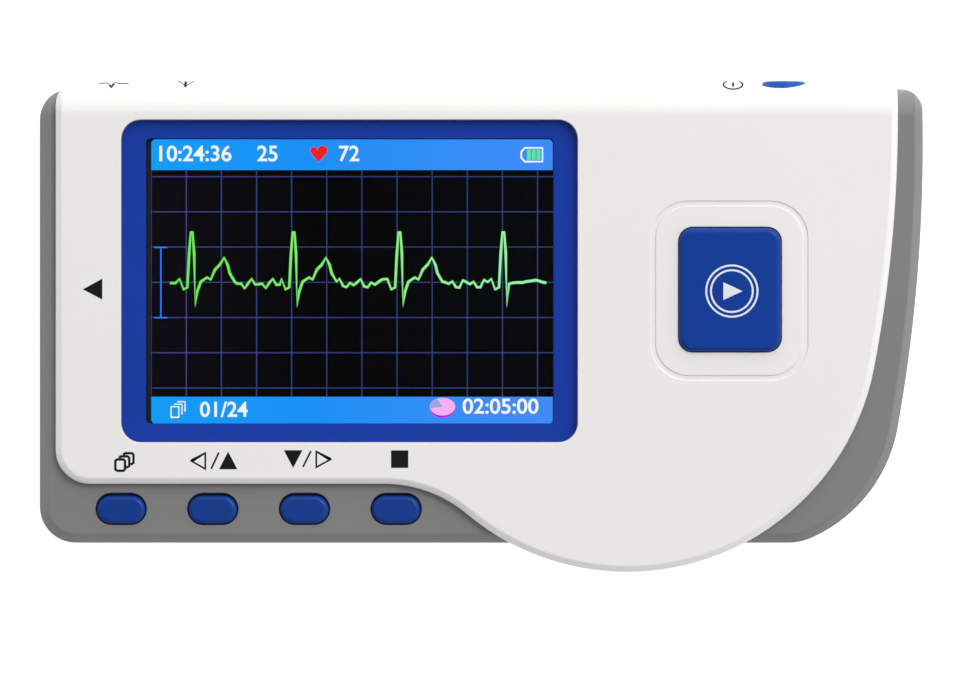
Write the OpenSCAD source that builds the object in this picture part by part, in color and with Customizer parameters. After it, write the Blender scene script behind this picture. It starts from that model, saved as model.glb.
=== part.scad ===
// Handheld ECG home monitor, lying on its back with the display up.
// +X runs along the long side, +Y to the top side with the sockets, +Z out of the display.
// The origin is at the middle of the back, on the surface that the monitor lies on.

/* [Case] */
// Length of the case, left to right
case_w = 125; // [122:0.5:132]
// Height of the case from the bulge to the top side
case_h = 70; // [68:0.5:76]
// Height of the fascia's face above the back
face_z = 19.2; // [18.8:0.1:21]
// Height of the seam between the rear cover and the front shell
seam_z = 6; // [5:0.1:6.4]
// Thickness of the fascia
fascia_t = 1.5; // [1.2:0.05:1.8]
// Side wall of the front shell and rear cover
side_wall = 2; // [1.6:0.1:2.2]
// Front wall of the front shell
front_wall = 1.6; // [1.3:0.05:1.7]
// Floor of the rear cover
floor_t = 2.4; // [2.2:0.1:2.8]
// Rounding of the case's front and back edges
case_edge_r = 1.7; // [0.8:0.1:2]
// Height of the fascia's lower edge on the top side and the bulge
wrap_z = 1.9; // [1.8:0.1:5.5]
// Gap between the fascia and the shell that it covers
cover_gap = 0.1; // [0.05:0.01:0.15]
// Height of the locating lip on the rear cover
lip_h = 1.4; // [1:0.1:1.8]
// Thickness of the locating lip
lip_t = 0.8; // [0.6:0.05:0.9]

/* [Case outline] */
// How far the bulge of the fascia drops below the shell's bottom edge
bulge_drop = 4.1; // [3:0.1:5]
// Radius of the shell's top left corner
corner_tl_r = 4.4; // [3.5:0.1:6]
// Radius of the shell's bottom left corner
corner_bl_r = 5.1; // [3.5:0.1:6]
// Radius of the shell's top right corner
corner_tr_r = 5; // [3.5:0.1:6]
// Radius of the long curve of the shell's right side
side_r = 227.5; // [180:0.5:300]
// Distance from the top side to where the right side reaches furthest out
side_peak = 9.5; // [8:0.1:12]
// Radius of the shell's large lower right corner
grip_r = 21; // [18:0.1:24]
// Height of the large corner's centre above the bottom edge
grip_rise = 19.9; // [17:0.1:20.5]
// Radius that blends the large corner into the bottom edge
blend_r = 8; // [5:0.1:10]

/* [Fascia outline] */
// Strip of shell left bare at the left of the fascia
fascia_left = 2.35; // [1.9:0.05:4]
// Strip of shell left bare at the right of the fascia
fascia_right = 3.65; // [3:0.05:5]
// Strip from the top side down to the fascia's straight lower edge
fascia_drop = 57.4; // [56.6:0.1:58.4]
// Radius of the fascia's bottom left corner
fascia_bl_r = 4.85; // [3:0.05:6]
// Radius of the fascia's top left corner
fascia_tl_r = 2.4; // [1.4:0.1:4]
// Radius of the fascia's top right corner
fascia_tr_r = 0.7; // [0.4:0.1:3]
// Radius of the long curve of the fascia's right side
fascia_side_r = 187.6; // [150:0.2:240]
// Distance from the top side to where the fascia reaches furthest right
fascia_peak = 5.8; // [4:0.1:8]
// Radius of the round bulge
bulge_r = 35.5; // [34:0.1:37]
// Radius of the hollow curve that leads into the bulge
hollow_r = 18.24; // [14:0.01:22]
// Rounding of the fascia's edge
fascia_edge_r = 1; // [0.4:0.1:1.2]
// Radius of the fascia's roll over the top side
top_roll_r = 5.65; // [4.5:0.05:6.5]

/* [Window] */
// Length of the window
window_w = 64.3; // [62:0.1:65]
// Height of the window
window_h = 45.1; // [43:0.1:46]
// Distance from the left side to the window
window_left = 11.7; // [10.6:0.1:12.6]
// Distance from the top side to the window
window_top = 6.2; // [5.8:0.1:6.6]
// Radius of the window's corners
window_r = 2.6; // [1.5:0.1:4]
// Depth of the window's face below the fascia
window_sink = 0.15; // [0:0.01:0.3]
// Gap round the window in its pocket
window_gap = 0.15; // [0.05:0.01:0.3]
// Length of the clear field
view_w = 57.6; // [54:0.1:58.4]
// Height of the clear field
view_h = 40.3; // [38:0.1:41]
// Strip of blue border at the left of the clear field
view_left = 3.4; // [2.8:0.1:4]
// Strip of blue border above the clear field
view_top = 2.5; // [2:0.1:3]
// Thickness of the printed border film
mask_t = 0.15; // [0.1:0.01:0.2]

/* [Start key] */
// Width of the start key's opening
start_w = 14.4; // [12:0.1:15]
// Height of the start key's opening
start_h = 17.5; // [15:0.1:18.5]
// Distance from the right side to the key's middle
start_right = 27.4; // [26.4:0.1:28.4]
// Distance from the top side to the key's middle
start_top = 29.9; // [28.5:0.1:31]
// Radius of the key's corners
start_r = 1.9; // [1:0.1:3]
// How far the key stands above the fascia
start_proud = 0.8; // [0.4:0.1:1]
// Bevel round the key's face
start_bevel = 0.7; // [0.3:0.1:0.9]
// Travel of the start key
start_travel = 0.6; // [0.3:0.05:0.7]
// Width of the groove ring round the start key
groove_ring_w = 21.5; // [19.5:0.1:22]
// Height of the groove ring
groove_ring_h = 25.2; // [23:0.1:26]
// Radius of the groove ring's corners
groove_ring_r = 6; // [4:0.1:8]
// Width of the groove
groove_w = 0.5; // [0.3:0.05:0.8]
// Depth of the groove
groove_d = 0.4; // [0.2:0.05:0.6]

/* [Pill keys] */
// Length of a pill key's opening
pill_w = 7.2; // [6:0.1:7.6]
// Height of a pill key's opening
pill_h = 4.5; // [3.6:0.1:4.6]
// Distance from one pill key to the next
pill_pitch = 12.96; // [12.6:0.01:13.2]
// Distance from the left side to the first pill key's middle
pill_left = 11.55; // [11.4:0.05:12.2]
// Distance from the shell's bottom edge to the pill keys' middle
pill_rise = 4.8; // [4.7:0.05:5]
// How far a pill key stands above the shell's face
pill_proud = 0.5; // [0.3:0.05:0.9]
// Rounding of a pill key's face
pill_edge_r = 0.5; // [0.2:0.05:0.7]
// Travel of a pill key
pill_travel = 0.6; // [0.3:0.05:0.7]

/* [Key fit] */
// Gap round a key in its opening
key_gap = 0.15; // [0.1:0.01:0.25]
// How far a key's flange reaches past its opening
flange_reach = 0.6; // [0.4:0.05:0.7]
// Thickness of a key's flange
flange_t = 0.7; // [0.5:0.05:0.75]
// Gap between a flange and the wall that stops it
flange_gap = 0.12; // [0.1:0.01:0.16]
// Gap between a key's foot and what it presses
press_gap = 0.1; // [0.05:0.01:0.15]

/* [Power key] */
// Diameter of the power key
power_d = 6; // [4.6:0.1:6.2]
// Distance from the right side to the power key's middle
power_right = 19.6; // [19:0.1:22]
// Height of the power key's middle
power_z = 12.2; // [12:0.05:12.4]
// How far the key's face lies below the top side
power_sink = 0.5; // [0.3:0.05:0.8]
// Travel of the power key
power_travel = 0.5; // [0.3:0.05:0.6]
// Radius of the finger scoop
scoop_r = 10.4; // [9:0.1:12]
// Depth of the finger scoop
scoop_d = 1.6; // [1.2:0.05:1.7]
// Wall left behind the scoop
scoop_wall = 1.1; // [0.9:0.05:1.2]
// Diameter of the power key's stem
power_stem_d = 2.4; // [1.8:0.1:3]

/* [Display] */
// Length of the display module
display_w = 69.2; // [66:0.1:69.6]
// Height of the display module
display_h = 50; // [48:0.1:50.2]
// Thickness of the display's glass cell
cell_t = 1.4; // [1:0.1:1.6]
// Thickness of the backlight behind it
backlight_t = 1.2; // [0.8:0.1:1.4]
// Thickness of the metal frame's sheet
frame_t = 0.3; // [0.2:0.05:0.4]
// Thickness of the foam gasket in front of the display
gasket_t = 0.5; // [0.3:0.05:0.6]
// Width of the foam gasket
gasket_w = 2; // [1:0.1:2.4]
// Gap between the view opening in the shell and the clear field
view_gap = 0.5; // [0.2:0.05:0.7]

/* [Boards] */
// Thickness of the main board
board_t = 1.6; // [1:0.1:1.8]
// Gap between the boards and the walls
board_gap = 0.6; // [0.4:0.05:0.8]
// Distance from the left side to the main board's right edge
board_end = 78.4; // [78:0.1:79]
// Thickness of the key board
key_board_t = 0.8; // [0.6:0.05:0.9]
// Width of the key board
key_board_w = 22; // [18.5:0.1:23]
// Height of the key board
key_board_h = 52.6; // [50:0.1:53]
// Thickness of the keypad mat
mat_t = 0.5; // [0.3:0.05:0.6]
// Height of a dome on the keypad mat
mat_dome_h = 1.1; // [0.9:0.05:1.2]
// Diameter of a dome on the keypad mat
mat_dome_d = 4.6; // [4.4:0.1:4.8]
// Wall of a dome on the keypad mat
mat_dome_wall = 0.5; // [0.3:0.05:0.6]
// Height of the snap dome under the start key
snap_h = 0.9; // [0.7:0.05:0.95]
// Diameter of the snap dome
snap_d = 8.4; // [7:0.1:10]
// Thickness of the snap dome's sheet
snap_t = 0.15; // [0.1:0.01:0.2]
// Diameter of the buzzer
buzzer_d = 12; // [9:0.1:13]
// Height of the buzzer
buzzer_h = 4; // [3:0.1:4.4]
// Thickness of the flat ribbons
ribbon_t = 0.2; // [0.1:0.05:0.3]

/* [Batteries] */
// Diameter of a battery
cell_d = 10.3; // [10:0.05:10.4]
// Length of a battery with its nub
cell_l = 44.5; // [43.5:0.1:44.5]
// Diameter of the battery's nub
nub_d = 3.8; // [3:0.1:4.2]
// Length of the battery's nub
nub_l = 1; // [0.8:0.1:1.4]
// Gap round a battery
cell_gap = 0.25; // [0.2:0.05:0.3]
// Distance from the right side to the middle of the battery bay
bay_right = 27.4; // [26.6:0.1:27.8]
// Distance from the top side to the middle of the battery bay
bay_top = 35; // [34.6:0.1:35.6]
// Side wall of the battery bay
bay_wall = 1; // [0.8:0.05:1.1]
// Ceiling of the battery bay
bay_ceiling = 0.8; // [0.6:0.05:0.9]
// Thickness of a contact plate
plate_t = 0.4; // [0.3:0.05:0.5]
// Length of a battery spring when a battery is in
spring_l = 4; // [3.5:0.1:4.5]
// Diameter of a battery spring at its plate
spring_d = 6.4; // [5:0.1:7.5]
// Diameter of a battery spring at the battery
spring_tip_d = 3.6; // [3:0.1:4.6]
// Diameter of the spring's wire
spring_wire = 0.5; // [0.4:0.05:0.55]
// Number of curls in a battery spring
spring_curls = 4; // [3:1:4]

/* [Battery door] */
// Thickness of the battery door
door_t = 1.6; // [1.4:0.05:1.7]
// How far the door's rails reach past its sides
rail_reach = 1; // [0.6:0.05:1.2]
// Thickness of the door's rails
rail_t = 0.8; // [0.6:0.05:0.8]
// Gap round the door and its rails
door_gap = 0.15; // [0.1:0.01:0.2]
// Length of the door past the bay at its inner end
door_lap = 1.8; // [1.4:0.1:2.2]
// Travel that takes the door off
door_travel = 60; // [20:1:62]
// Number of grip ribs on the door
door_ribs = 7; // [3:1:9]

/* [Sockets] */
// Distance from the left side to the lead socket
lead_left = 10.3; // [10:0.1:10.6]
// Distance from the left side to the data socket
data_left = 20.75; // [20.2:0.05:24]
// Bore of the lead socket
jack_bore = 3.6; // [3.55:0.01:3.7]
// Outer diameter of the lead socket's nose
jack_nose_d = 5.2; // [4.8:0.1:5.4]
// Width of the lead socket's body
jack_w = 5.8; // [5.6:0.1:6]
// Length of the lead socket's body
jack_l = 12; // [11:0.1:14]
// Height of the lead socket's body
jack_h = 5; // [4.8:0.05:5.1]
// Width of the data socket
data_w = 7.7; // [7.2:0.1:8]
// Height of the data socket
data_h = 3.9; // [3.4:0.1:4]
// Length of the data socket
data_l = 9.2; // [8:0.1:10]
// Thickness of the data socket's metal
data_t = 0.4; // [0.3:0.05:0.5]
// How far the sockets' mouths lie below the top side
socket_sink = 0.4; // [0.2:0.05:0.8]
// Gap round the sockets in the walls
socket_gap = 0.2; // [0.1:0.05:0.25]

/* [Electrodes] */
// Thickness of the electrodes
plate_steel = 0.6; // [0.4:0.05:0.8]
// Gap round the electrodes
plate_gap = 0.1; // [0.05:0.01:0.15]
// Length of the left electrode
left_plate_l = 24; // [16:0.5:30]
// Length of the right electrode
right_plate_l = 26; // [18:0.5:28]
// Height of the side electrodes
side_plate_h = 6.6; // [5:0.1:7]
// Height of the side electrodes' middle above the back
side_plate_z = 11; // [10.6:0.1:11.6]
// Length of the back electrode
back_plate_l = 28; // [20:0.5:32]
// Height of the back electrode
back_plate_h = 14; // [10:0.5:16]
// Distance from the left side to the back electrode's middle
back_plate_left = 26; // [24:0.5:30]
// Diameter of the electrodes' studs
stud_d = 2; // [1.4:0.1:2.4]
// Diameter of the wires
wire_d = 0.9; // [0.6:0.05:1]

/* [Screws] */
// Diameter of the case screws
screw_d = 2; // [1.6:0.1:2.2]
// Length of the case screws under the head
screw_l = 8; // [6:0.5:9]
// Diameter of the screws' heads
screw_head_d = 3.6; // [3:0.1:3.8]
// Height of the screws' heads
screw_head_h = 1.4; // [1:0.1:1.6]
// Depth of the screws' seats from the back
screw_seat = 2.4; // [2:0.1:3]
// Diameter of the screw posts and bosses
boss_d = 4.8; // [4.4:0.1:5]
// Play round a screw in its holes
screw_play = 0.04; // [0.02:0.01:0.1]

/* [Hidden] */

// Steps on the corners, the rounded edges and the long curves
corner_steps = 6;
edge_steps = 4;
curve_steps = 8;
bulge_steps = 20;
// Smallest radius that a corner keeps when its outline is drawn in
least_r = 0.1;
// What a cut runs past the face that it opens
over = 1;

// Case
left_x = -case_w / 2;
right_x = case_w / 2;
top_y = case_h / 2;
shell_top = top_y - fascia_t - cover_gap;
shell_bottom = -top_y + bulge_drop;
shell_z = face_z - fascia_t;
wall_z = shell_z - front_wall;
skirt_inset = fascia_t + cover_gap;

// Arc centres of the two outlines, each from the edges that it touches
function reach_x(centre, r, y) = centre[0] + sqrt(r * r - pow(y - centre[1], 2));
function bearing(from, to) = atan2(to[1] - from[1], to[0] - from[0]);
side_c = [right_x - side_r, top_y - side_peak];
grip_y = shell_bottom + grip_rise;
grip_c = [reach_x(side_c, side_r - grip_r, grip_y), grip_y];
blend_y = shell_bottom + blend_r;
blend_c = [reach_x(grip_c, grip_r - blend_r, blend_y), blend_y];
fascia_low = top_y - fascia_drop;
fascia_side_c = [right_x - fascia_right - fascia_side_r, top_y - fascia_peak];
bulge_y = -top_y + bulge_r;
bulge_c = [reach_x(fascia_side_c, fascia_side_r - bulge_r, bulge_y), bulge_y];
hollow_y = fascia_low - hollow_r;
hollow_c = [-reach_x([-bulge_c[0], bulge_y], bulge_r + hollow_r, hollow_y), hollow_y];

// Points along an arc, with or without its last point
function arc(centre, r, from, to, steps) =
    [for (k = [0:steps]) centre + r * [cos(from + (to - from) * k / steps),
                                       sin(from + (to - from) * k / steps)]];
function open_arc(centre, r, from, to, steps) =
    [for (k = [0:steps - 1]) centre + r * [cos(from + (to - from) * k / steps),
                                           sin(from + (to - from) * k / steps)]];
// Top right corner of an outline whose right side is the long curve about side_centre
function top_right_c(side_centre, long_r, corner_r, high) =
    [reach_x(side_centre, long_r - corner_r, high - corner_r), high - corner_r];

// Outline of the front shell and rear cover, drawn in by inset: its bottom edge swells
// into the bulge, which lies inside the fascia's own
function case_points(inset) =
    let (
        bl = max(corner_bl_r - inset, least_r),
        tl = max(corner_tl_r - inset, least_r),
        tr = max(corner_tr_r - inset, least_r),
        x0 = left_x + inset,
        y0 = shell_bottom + inset,
        y1 = shell_top - inset,
        tr_c = top_right_c(side_c, side_r - inset, tr, y1),
        swell_r = bulge_r - skirt_inset - inset,
        swell_turn = asin((bulge_y - y0) / swell_r)
    )
    concat(
        arc([x0 + bl, y0 + bl], bl, 180, 270, corner_steps),
        arc(bulge_c, swell_r, 180 + swell_turn, 360 - swell_turn, curve_steps),
        open_arc(blend_c, blend_r - inset, 270, 360 + bearing(grip_c, blend_c), corner_steps),
        open_arc(grip_c, grip_r - inset, bearing(grip_c, blend_c), bearing(side_c, grip_c),
                 curve_steps),
        open_arc(side_c, side_r - inset, bearing(side_c, grip_c), bearing(side_c, tr_c),
                 corner_steps),
        arc(tr_c, tr, bearing(side_c, tr_c), 90, corner_steps),
        arc([x0 + tl, y1 - tl], tl, 90, 180, corner_steps)
    );

// Outline of the fascia, drawn in by inset
function fascia_points(inset) =
    let (
        bl = max(fascia_bl_r - inset, least_r),
        tl = max(fascia_tl_r - inset, least_r),
        tr = max(fascia_tr_r - inset, least_r),
        x0 = left_x + fascia_left + inset,
        y0 = fascia_low + inset,
        y1 = top_y - inset,
        tr_c = top_right_c(fascia_side_c, fascia_side_r - inset, tr, y1),
        turn = bearing(hollow_c, bulge_c),
        into_side = bearing(fascia_side_c, bulge_c)
    )
    concat(
        arc([x0 + bl, y0 + bl], bl, 180, 270, corner_steps),
        open_arc(hollow_c, hollow_r + inset, 90, turn, curve_steps),
        open_arc(bulge_c, bulge_r - inset, 180 + turn, 360 + into_side, bulge_steps),
        open_arc(fascia_side_c, fascia_side_r - inset, into_side,
                 bearing(fascia_side_c, tr_c), curve_steps),
        arc(tr_c, tr, bearing(fascia_side_c, tr_c), 90, corner_steps),
        arc([x0 + tl, y1 - tl], tl, 90, 180, corner_steps)
    );

// Outline of a rectangle with round corners about the origin, drawn in by inset
function box_points(w, h, r, inset) =
    let (
        c = max(r - inset, least_r),
        x = w / 2 - inset - c,
        y = h / 2 - inset - c
    )
    concat(
        arc([-x, -y], c, 180, 270, corner_steps),
        arc([x, -y], c, 270, 360, corner_steps),
        arc([x, y], c, 0, 90, corner_steps),
        arc([-x, y], c, 90, 180, corner_steps)
    );

// A closed solid through a stack of outlines that have the same number of points
module stack(rings, heights) {
    count = len(rings[0]);
    last = (len(rings) - 1) * count;
    points = [for (l = [0:len(rings) - 1]) for (p = rings[l]) [p[0], p[1], heights[l]]];
    sides = [
        for (l = [0:len(rings) - 2])
            for (i = [0:count - 1])
                let (a = l * count + i, b = l * count + (i + 1) % count)
                [a, a + count, b + count, b]
    ];
    floor_face = [for (i = [0:count - 1]) i];
    roof_face = [for (i = [0:count - 1]) last + count - 1 - i];
    polyhedron(points, concat(sides, [floor_face, roof_face]), convexity = 4);
}

// A solid from an outline function, with its low and high edges rounded
module edged(outline, inset, low, high, low_r, high_r) {
    low_levels = low_r > 0
        ? [for (k = [0:edge_steps]) let (t = 90 * k / edge_steps)
              [low + low_r * (1 - cos(t)), low_r * (1 - sin(t))]]
        : [[low, 0]];
    high_levels = high_r > 0
        ? [for (k = [0:edge_steps]) let (t = 90 * k / edge_steps)
              [high - high_r * (1 - sin(t)), high_r * (1 - cos(t))]]
        : [[high, 0]];
    levels = concat(low_levels, high_levels);
    stack([for (l = levels) outline(inset + l[1])], [for (l = levels) l[0]]);
}

// A tube of the given radius along a path, with square ends
function unit(v) = v / norm(v);
function path_dir(path, i) =
    unit(unit(path[min(i + 1, len(path) - 1)] - path[min(i, len(path) - 2)])
         + unit(path[max(i, 1)] - path[max(i - 1, 0)]));
module tube(path, r, sides, up) {
    rings = [
        for (i = [0:len(path) - 1])
            let (
                ahead = path_dir(path, i),
                across = unit(cross(ahead, up)),
                above = cross(across, ahead)
            )
            for (k = [0:sides - 1])
                path[i] + r * (cos(360 * k / sides) * across + sin(360 * k / sides) * above)
    ];
    last = (len(path) - 1) * sides;
    walls = [
        for (i = [0:len(path) - 2])
            for (k = [0:sides - 1])
                let (a = i * sides + k, b = i * sides + (k + 1) % sides)
                each [[a, b, b + sides], [a, b + sides, a + sides]]
    ];
    near_end = [for (k = [0:sides - 1]) sides - 1 - k];
    far_end = [for (k = [0:sides - 1]) last + k];
    polyhedron(rings, concat(walls, [near_end, far_end]), convexity = 6);
}

// Window and display places
window_x0 = left_x + window_left;
window_y1 = top_y - window_top;
window_c = [window_x0 + window_w / 2, window_y1 - window_h / 2];
view_c = [window_x0 + view_left + view_w / 2, window_y1 - view_top - view_h / 2];
mask_z = shell_z + mask_t;
gasket_z = wall_z - gasket_t;
cell_z = gasket_z - frame_t;
backlight_z = cell_z - cell_t;
board_z = backlight_z - backlight_t;
board_low = board_z - board_t;

// Key places
start_c = [right_x - start_right, top_y - start_top];
pill_y = shell_bottom + pill_rise;
function pill_x(index) = left_x + pill_left + index * pill_pitch;
pill_count = 4;
flange_top = wall_z - flange_gap;
flange_low = flange_top - flange_t;

// Battery bay
bay_x = right_x - bay_right;
bay_y = top_y - bay_top;
bay_w = 2 * cell_d + 3 * cell_gap;
plate_play = 0.1;
bay_l = cell_l + spring_l + 2 * plate_t + plate_play;
battery_z = door_t + cell_gap + cell_d / 2;
bay_roof = battery_z + cell_d / 2 + cell_gap;
key_board_z = bay_roof + bay_ceiling;
key_board_top_z = key_board_z + key_board_t;
function battery_x(side) = bay_x + side * (cell_d + cell_gap) / 2;
door_lap_side = 1.4;
door_w = bay_w + 2 * door_lap_side;
door_top = bay_y + bay_l / 2 + door_lap;

// Screws: places measured from the case's edges
boss_left = 4.9;
boss_mid = 81.8;
boss_right = 7.6;
boss_grip = 11;
boss_high = 6.4;
boss_high_mid = 7;
boss_low = 10.4;
boss_low_mid = 2.9;
boss_low_grip = 13.9;
boss_places = [
    [left_x + boss_left, shell_top - boss_high],
    [left_x + boss_left, shell_bottom + boss_low],
    [left_x + boss_mid, shell_top - boss_high_mid],
    [left_x + boss_mid, shell_bottom + boss_low_mid],
    [right_x - boss_right, shell_top - boss_high - boss_high_mid / 2],
    [right_x - boss_grip, shell_bottom + boss_low_grip]
];
screw_end = screw_seat + screw_l;
thread_end_gap = 0.6;

// Power key
power_x = right_x - power_right;
power_face = top_y - power_sink;
scoop_x = power_x - 0.6;
scoop_c = [scoop_x, top_y - scoop_d + scoop_r];
scoop_half = sqrt(pow(scoop_r, 2) - pow(scoop_r - scoop_d, 2));
pad_low = top_y - scoop_d - scoop_wall;
pad_side = 1.2;
pad_rise = 0.2;
roll_y = top_y - top_roll_r;
roll_z = face_z - top_roll_r;
pad_top = roll_z + pad_rise + sqrt(pow(top_roll_r - fascia_t, 2) - pow(pad_low - roll_y, 2));

// Sockets
lead_x = left_x + lead_left;
data_x = left_x + data_left;
lead_z = board_low - jack_h / 2;
data_z = board_low - data_h / 2;
socket_mouth = top_y - socket_sink;

// Electrodes
left_plate_y = 0;
right_plate_drop = 15;
right_plate_y = side_c[1] - right_plate_drop;
stud_z = side_plate_z - side_plate_h / 2 + stud_d / 2 + 0.6;
back_plate_x = left_x + back_plate_left;
back_plate_y = 0;
stud_in = 2;

// What the roll from the front to the top side takes off a square edge at y, z
module roll_cut(y, roll, z) {
    rotate([90, 0, 90])
        linear_extrude(case_w + 2 * over, center = true)
            polygon(concat(
                [[y + over, z - roll]],
                arc([y - roll, z - roll], roll, 0, 90, 2 * corner_steps),
                [[y - roll, z + over], [y + over, z + over]]
            ));
}

// Rectangle on the XY plane about a centre, as a box between two heights
module box_at(centre, w, h, low, high) {
    translate([centre[0] - w / 2, centre[1] - h / 2, low])
        cube([w, h, high - low]);
}

// Rounded rectangle about a centre, extruded between two heights
module plate_at(centre, w, h, r, low, high) {
    translate([centre[0], centre[1], low])
        linear_extrude(high - low)
            polygon(box_points(w, h, r, 0));
}

module peg(x, y, d, low, high) {
    translate([x, y, low])
        cylinder(h = high - low, d = d, $fn = 48);
}

// Round bar or bore along +Y
module bar_y(x, z, d, from, to) {
    translate([x, from, z])
        rotate([-90, 0, 0])
            cylinder(h = to - from, d = d, $fn = 48);
}

module socket_ways(from, to) {
    bar_y(lead_x, lead_z, jack_nose_d + 2 * socket_gap, from, to);
    translate([data_x - data_w / 2 - socket_gap, from, data_z - data_h / 2 - socket_gap])
        cube([data_w + 2 * socket_gap, to - from, data_h + 2 * socket_gap]);
}

module scoop() {
    translate([scoop_c[0], scoop_c[1], 0])
        cylinder(h = face_z + over, r = scoop_r, $fn = 96);
}

// Fascia: a plate over the front that wraps over the top side and skirts the bulge
module fascia() {
    color([0.91, 0.90, 0.88])
    difference() {
        edged(function (i) fascia_points(i), 0, wrap_z, face_z, 0, fascia_edge_r);
        roll_cut(top_y, top_roll_r, face_z);
        difference() {
            translate([0, 0, wrap_z - over])
                linear_extrude(shell_z - wrap_z + over)
                    polygon(case_points(-cover_gap));
            roll_cut(top_y - fascia_t, top_roll_r - fascia_t, shell_z);
            // Pad that backs the finger scoop
            box_at([scoop_x, (pad_low + top_y) / 2], 2 * (scoop_half + pad_side),
                   top_y - pad_low, wrap_z - 2 * over, pad_top);
        }
        plate_at(window_c, window_w + 2 * window_gap, window_h + 2 * window_gap, window_r,
                 shell_z - over, face_z + over);
        plate_at(start_c, start_w, start_h, start_r, shell_z - over, face_z + over);
        difference() {
            plate_at(start_c, groove_ring_w, groove_ring_h, groove_ring_r,
                     face_z - groove_d, face_z + over);
            plate_at(start_c, groove_ring_w - 2 * groove_w, groove_ring_h - 2 * groove_w,
                     groove_ring_r - groove_w, face_z - groove_d - over, face_z + 2 * over);
        }
        scoop();
        bar_y(power_x, power_z, power_d + 2 * key_gap, pad_low - over, top_y + over);
        socket_ways(shell_top - over, top_y + over);
    }
}

// Outer form of the front shell, trimmed level at the seam
module shell_form() {
    difference() {
        edged(function (i) case_points(i), 0, seam_z - case_edge_r, shell_z, 0, case_edge_r);
        roll_cut(shell_top, top_roll_r - skirt_inset, shell_z);
        box_at([0, 0], 2 * case_w, 2 * case_h, 0, seam_z);
    }
}

// Inside of the case, drawn in further by gap
module case_inside(gap) {
    polygon(case_points(side_wall + gap));
}

// Notch for the pad behind the finger scoop
module pad_notch(low, high) {
    box_at([scoop_x, pad_low - cover_gap + case_h / 2],
           2 * (scoop_half + pad_side + cover_gap), case_h, low, high);
}

module front_shell() {
    color([0.48, 0.48, 0.50])
    difference() {
        union() {
            difference() {
                shell_form();
                translate([0, 0, seam_z - over])
                    linear_extrude(wall_z - seam_z + over)
                        case_inside(0);
            }
            for (p = boss_places)
                peg(p[0], p[1], boss_d, seam_z, wall_z);
        }
        for (p = boss_places)
            peg(p[0], p[1], screw_d + 2 * screw_play, seam_z - over,
                screw_end + thread_end_gap);
        plate_at(view_c, view_w + 2 * view_gap, view_h + 2 * view_gap, view_gap,
                 wall_z - over, shell_z + over);
        plate_at(start_c, start_w, start_h, start_r, wall_z - over, shell_z + over);
        for (i = [0:pill_count - 1])
            plate_at([pill_x(i), pill_y], pill_w, pill_h, pill_h / 2,
                     wall_z - over, shell_z + over);
        pad_notch(seam_z - over, pad_top + cover_gap);
        bar_y(power_x, power_z, power_d + 2 * key_gap, shell_top - side_wall - over,
              top_y);
        socket_ways(shell_top - side_wall - over, top_y);
        left_plate(plate_gap);
        right_plate(plate_gap);
        left_stud(plate_gap);
        right_stud(plate_gap);
    }
}

// Outer form of the rear cover
module rear_form() {
    edged(function (i) case_points(i), 0, 0, seam_z, case_edge_r, 0);
}

// Room that the battery door slides in, drawn out by gap
module door_room(gap) {
    low_end = -top_y - over;
    translate([bay_x - door_w / 2 - gap, low_end, -over])
        cube([door_w + 2 * gap, door_top + gap - low_end, door_t + gap + over]);
    translate([bay_x - door_w / 2 - rail_reach - gap, low_end, door_t - rail_t - gap])
        cube([door_w + 2 * (rail_reach + gap), door_top + gap - low_end, rail_t + 2 * gap]);
}

module rear_cover() {
    post_r = 2;
    sound_hole_d = 1.4;
    color([0.47, 0.47, 0.49])
    difference() {
        union() {
            difference() {
                rear_form();
                translate([0, 0, floor_t])
                    linear_extrude(seam_z)
                        case_inside(0);
            }
            locating_lip();
            box_at([bay_x, bay_y], bay_w + 2 * bay_wall, bay_l + 2 * bay_wall,
                   floor_t / 2, key_board_z);
            for (p = boss_places)
                peg(p[0], p[1], boss_d, floor_t / 2, seam_z);
            for (p = board_posts)
                peg(p[0], p[1], 2 * post_r, floor_t / 2, board_low);
        }
        pad_notch(-over, seam_z + over);
        box_at([bay_x, bay_y], bay_w, bay_l, -over, bay_roof);
        door_room(door_gap);
        for (p = boss_places) {
            peg(p[0], p[1], screw_d + 2 * screw_play, -over, seam_z + over);
            peg(p[0], p[1], screw_head_d + 2 * cover_gap, -over, screw_seat);
        }
        for (t = [0:60:300])
            peg(buzzer_c[0] + buzzer_d / 4 * cos(t), buzzer_c[1] + buzzer_d / 4 * sin(t),
                sound_hole_d, -over, floor_t + over);
        peg(buzzer_c[0], buzzer_c[1], sound_hole_d, -over, floor_t + over);
        back_plate(plate_gap);
        back_studs(plate_gap);
        tab_slots();
    }
}

// Lip that stands inside the front shell, cut away round the bosses and sockets
module locating_lip() {
    socket_x0 = lead_x - jack_w / 2 - 1;
    socket_x1 = data_x + data_w / 2 + 1;
    difference() {
        translate([0, 0, floor_t / 2])
            linear_extrude(seam_z + lip_h - floor_t / 2)
                difference() {
                    case_inside(cover_gap);
                    case_inside(cover_gap + lip_t);
                }
        for (p = boss_places)
            peg(p[0], p[1], boss_d + 4 * cover_gap, seam_z, seam_z + lip_h + over);
        translate([socket_x0, 0, board_low - jack_h - socket_gap])
            cube([socket_x1 - socket_x0, case_h, case_h]);
        box_at([power_x, top_y], power_d + 4, case_h / 4, seam_z, seam_z + lip_h + over);
    }
}

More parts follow.
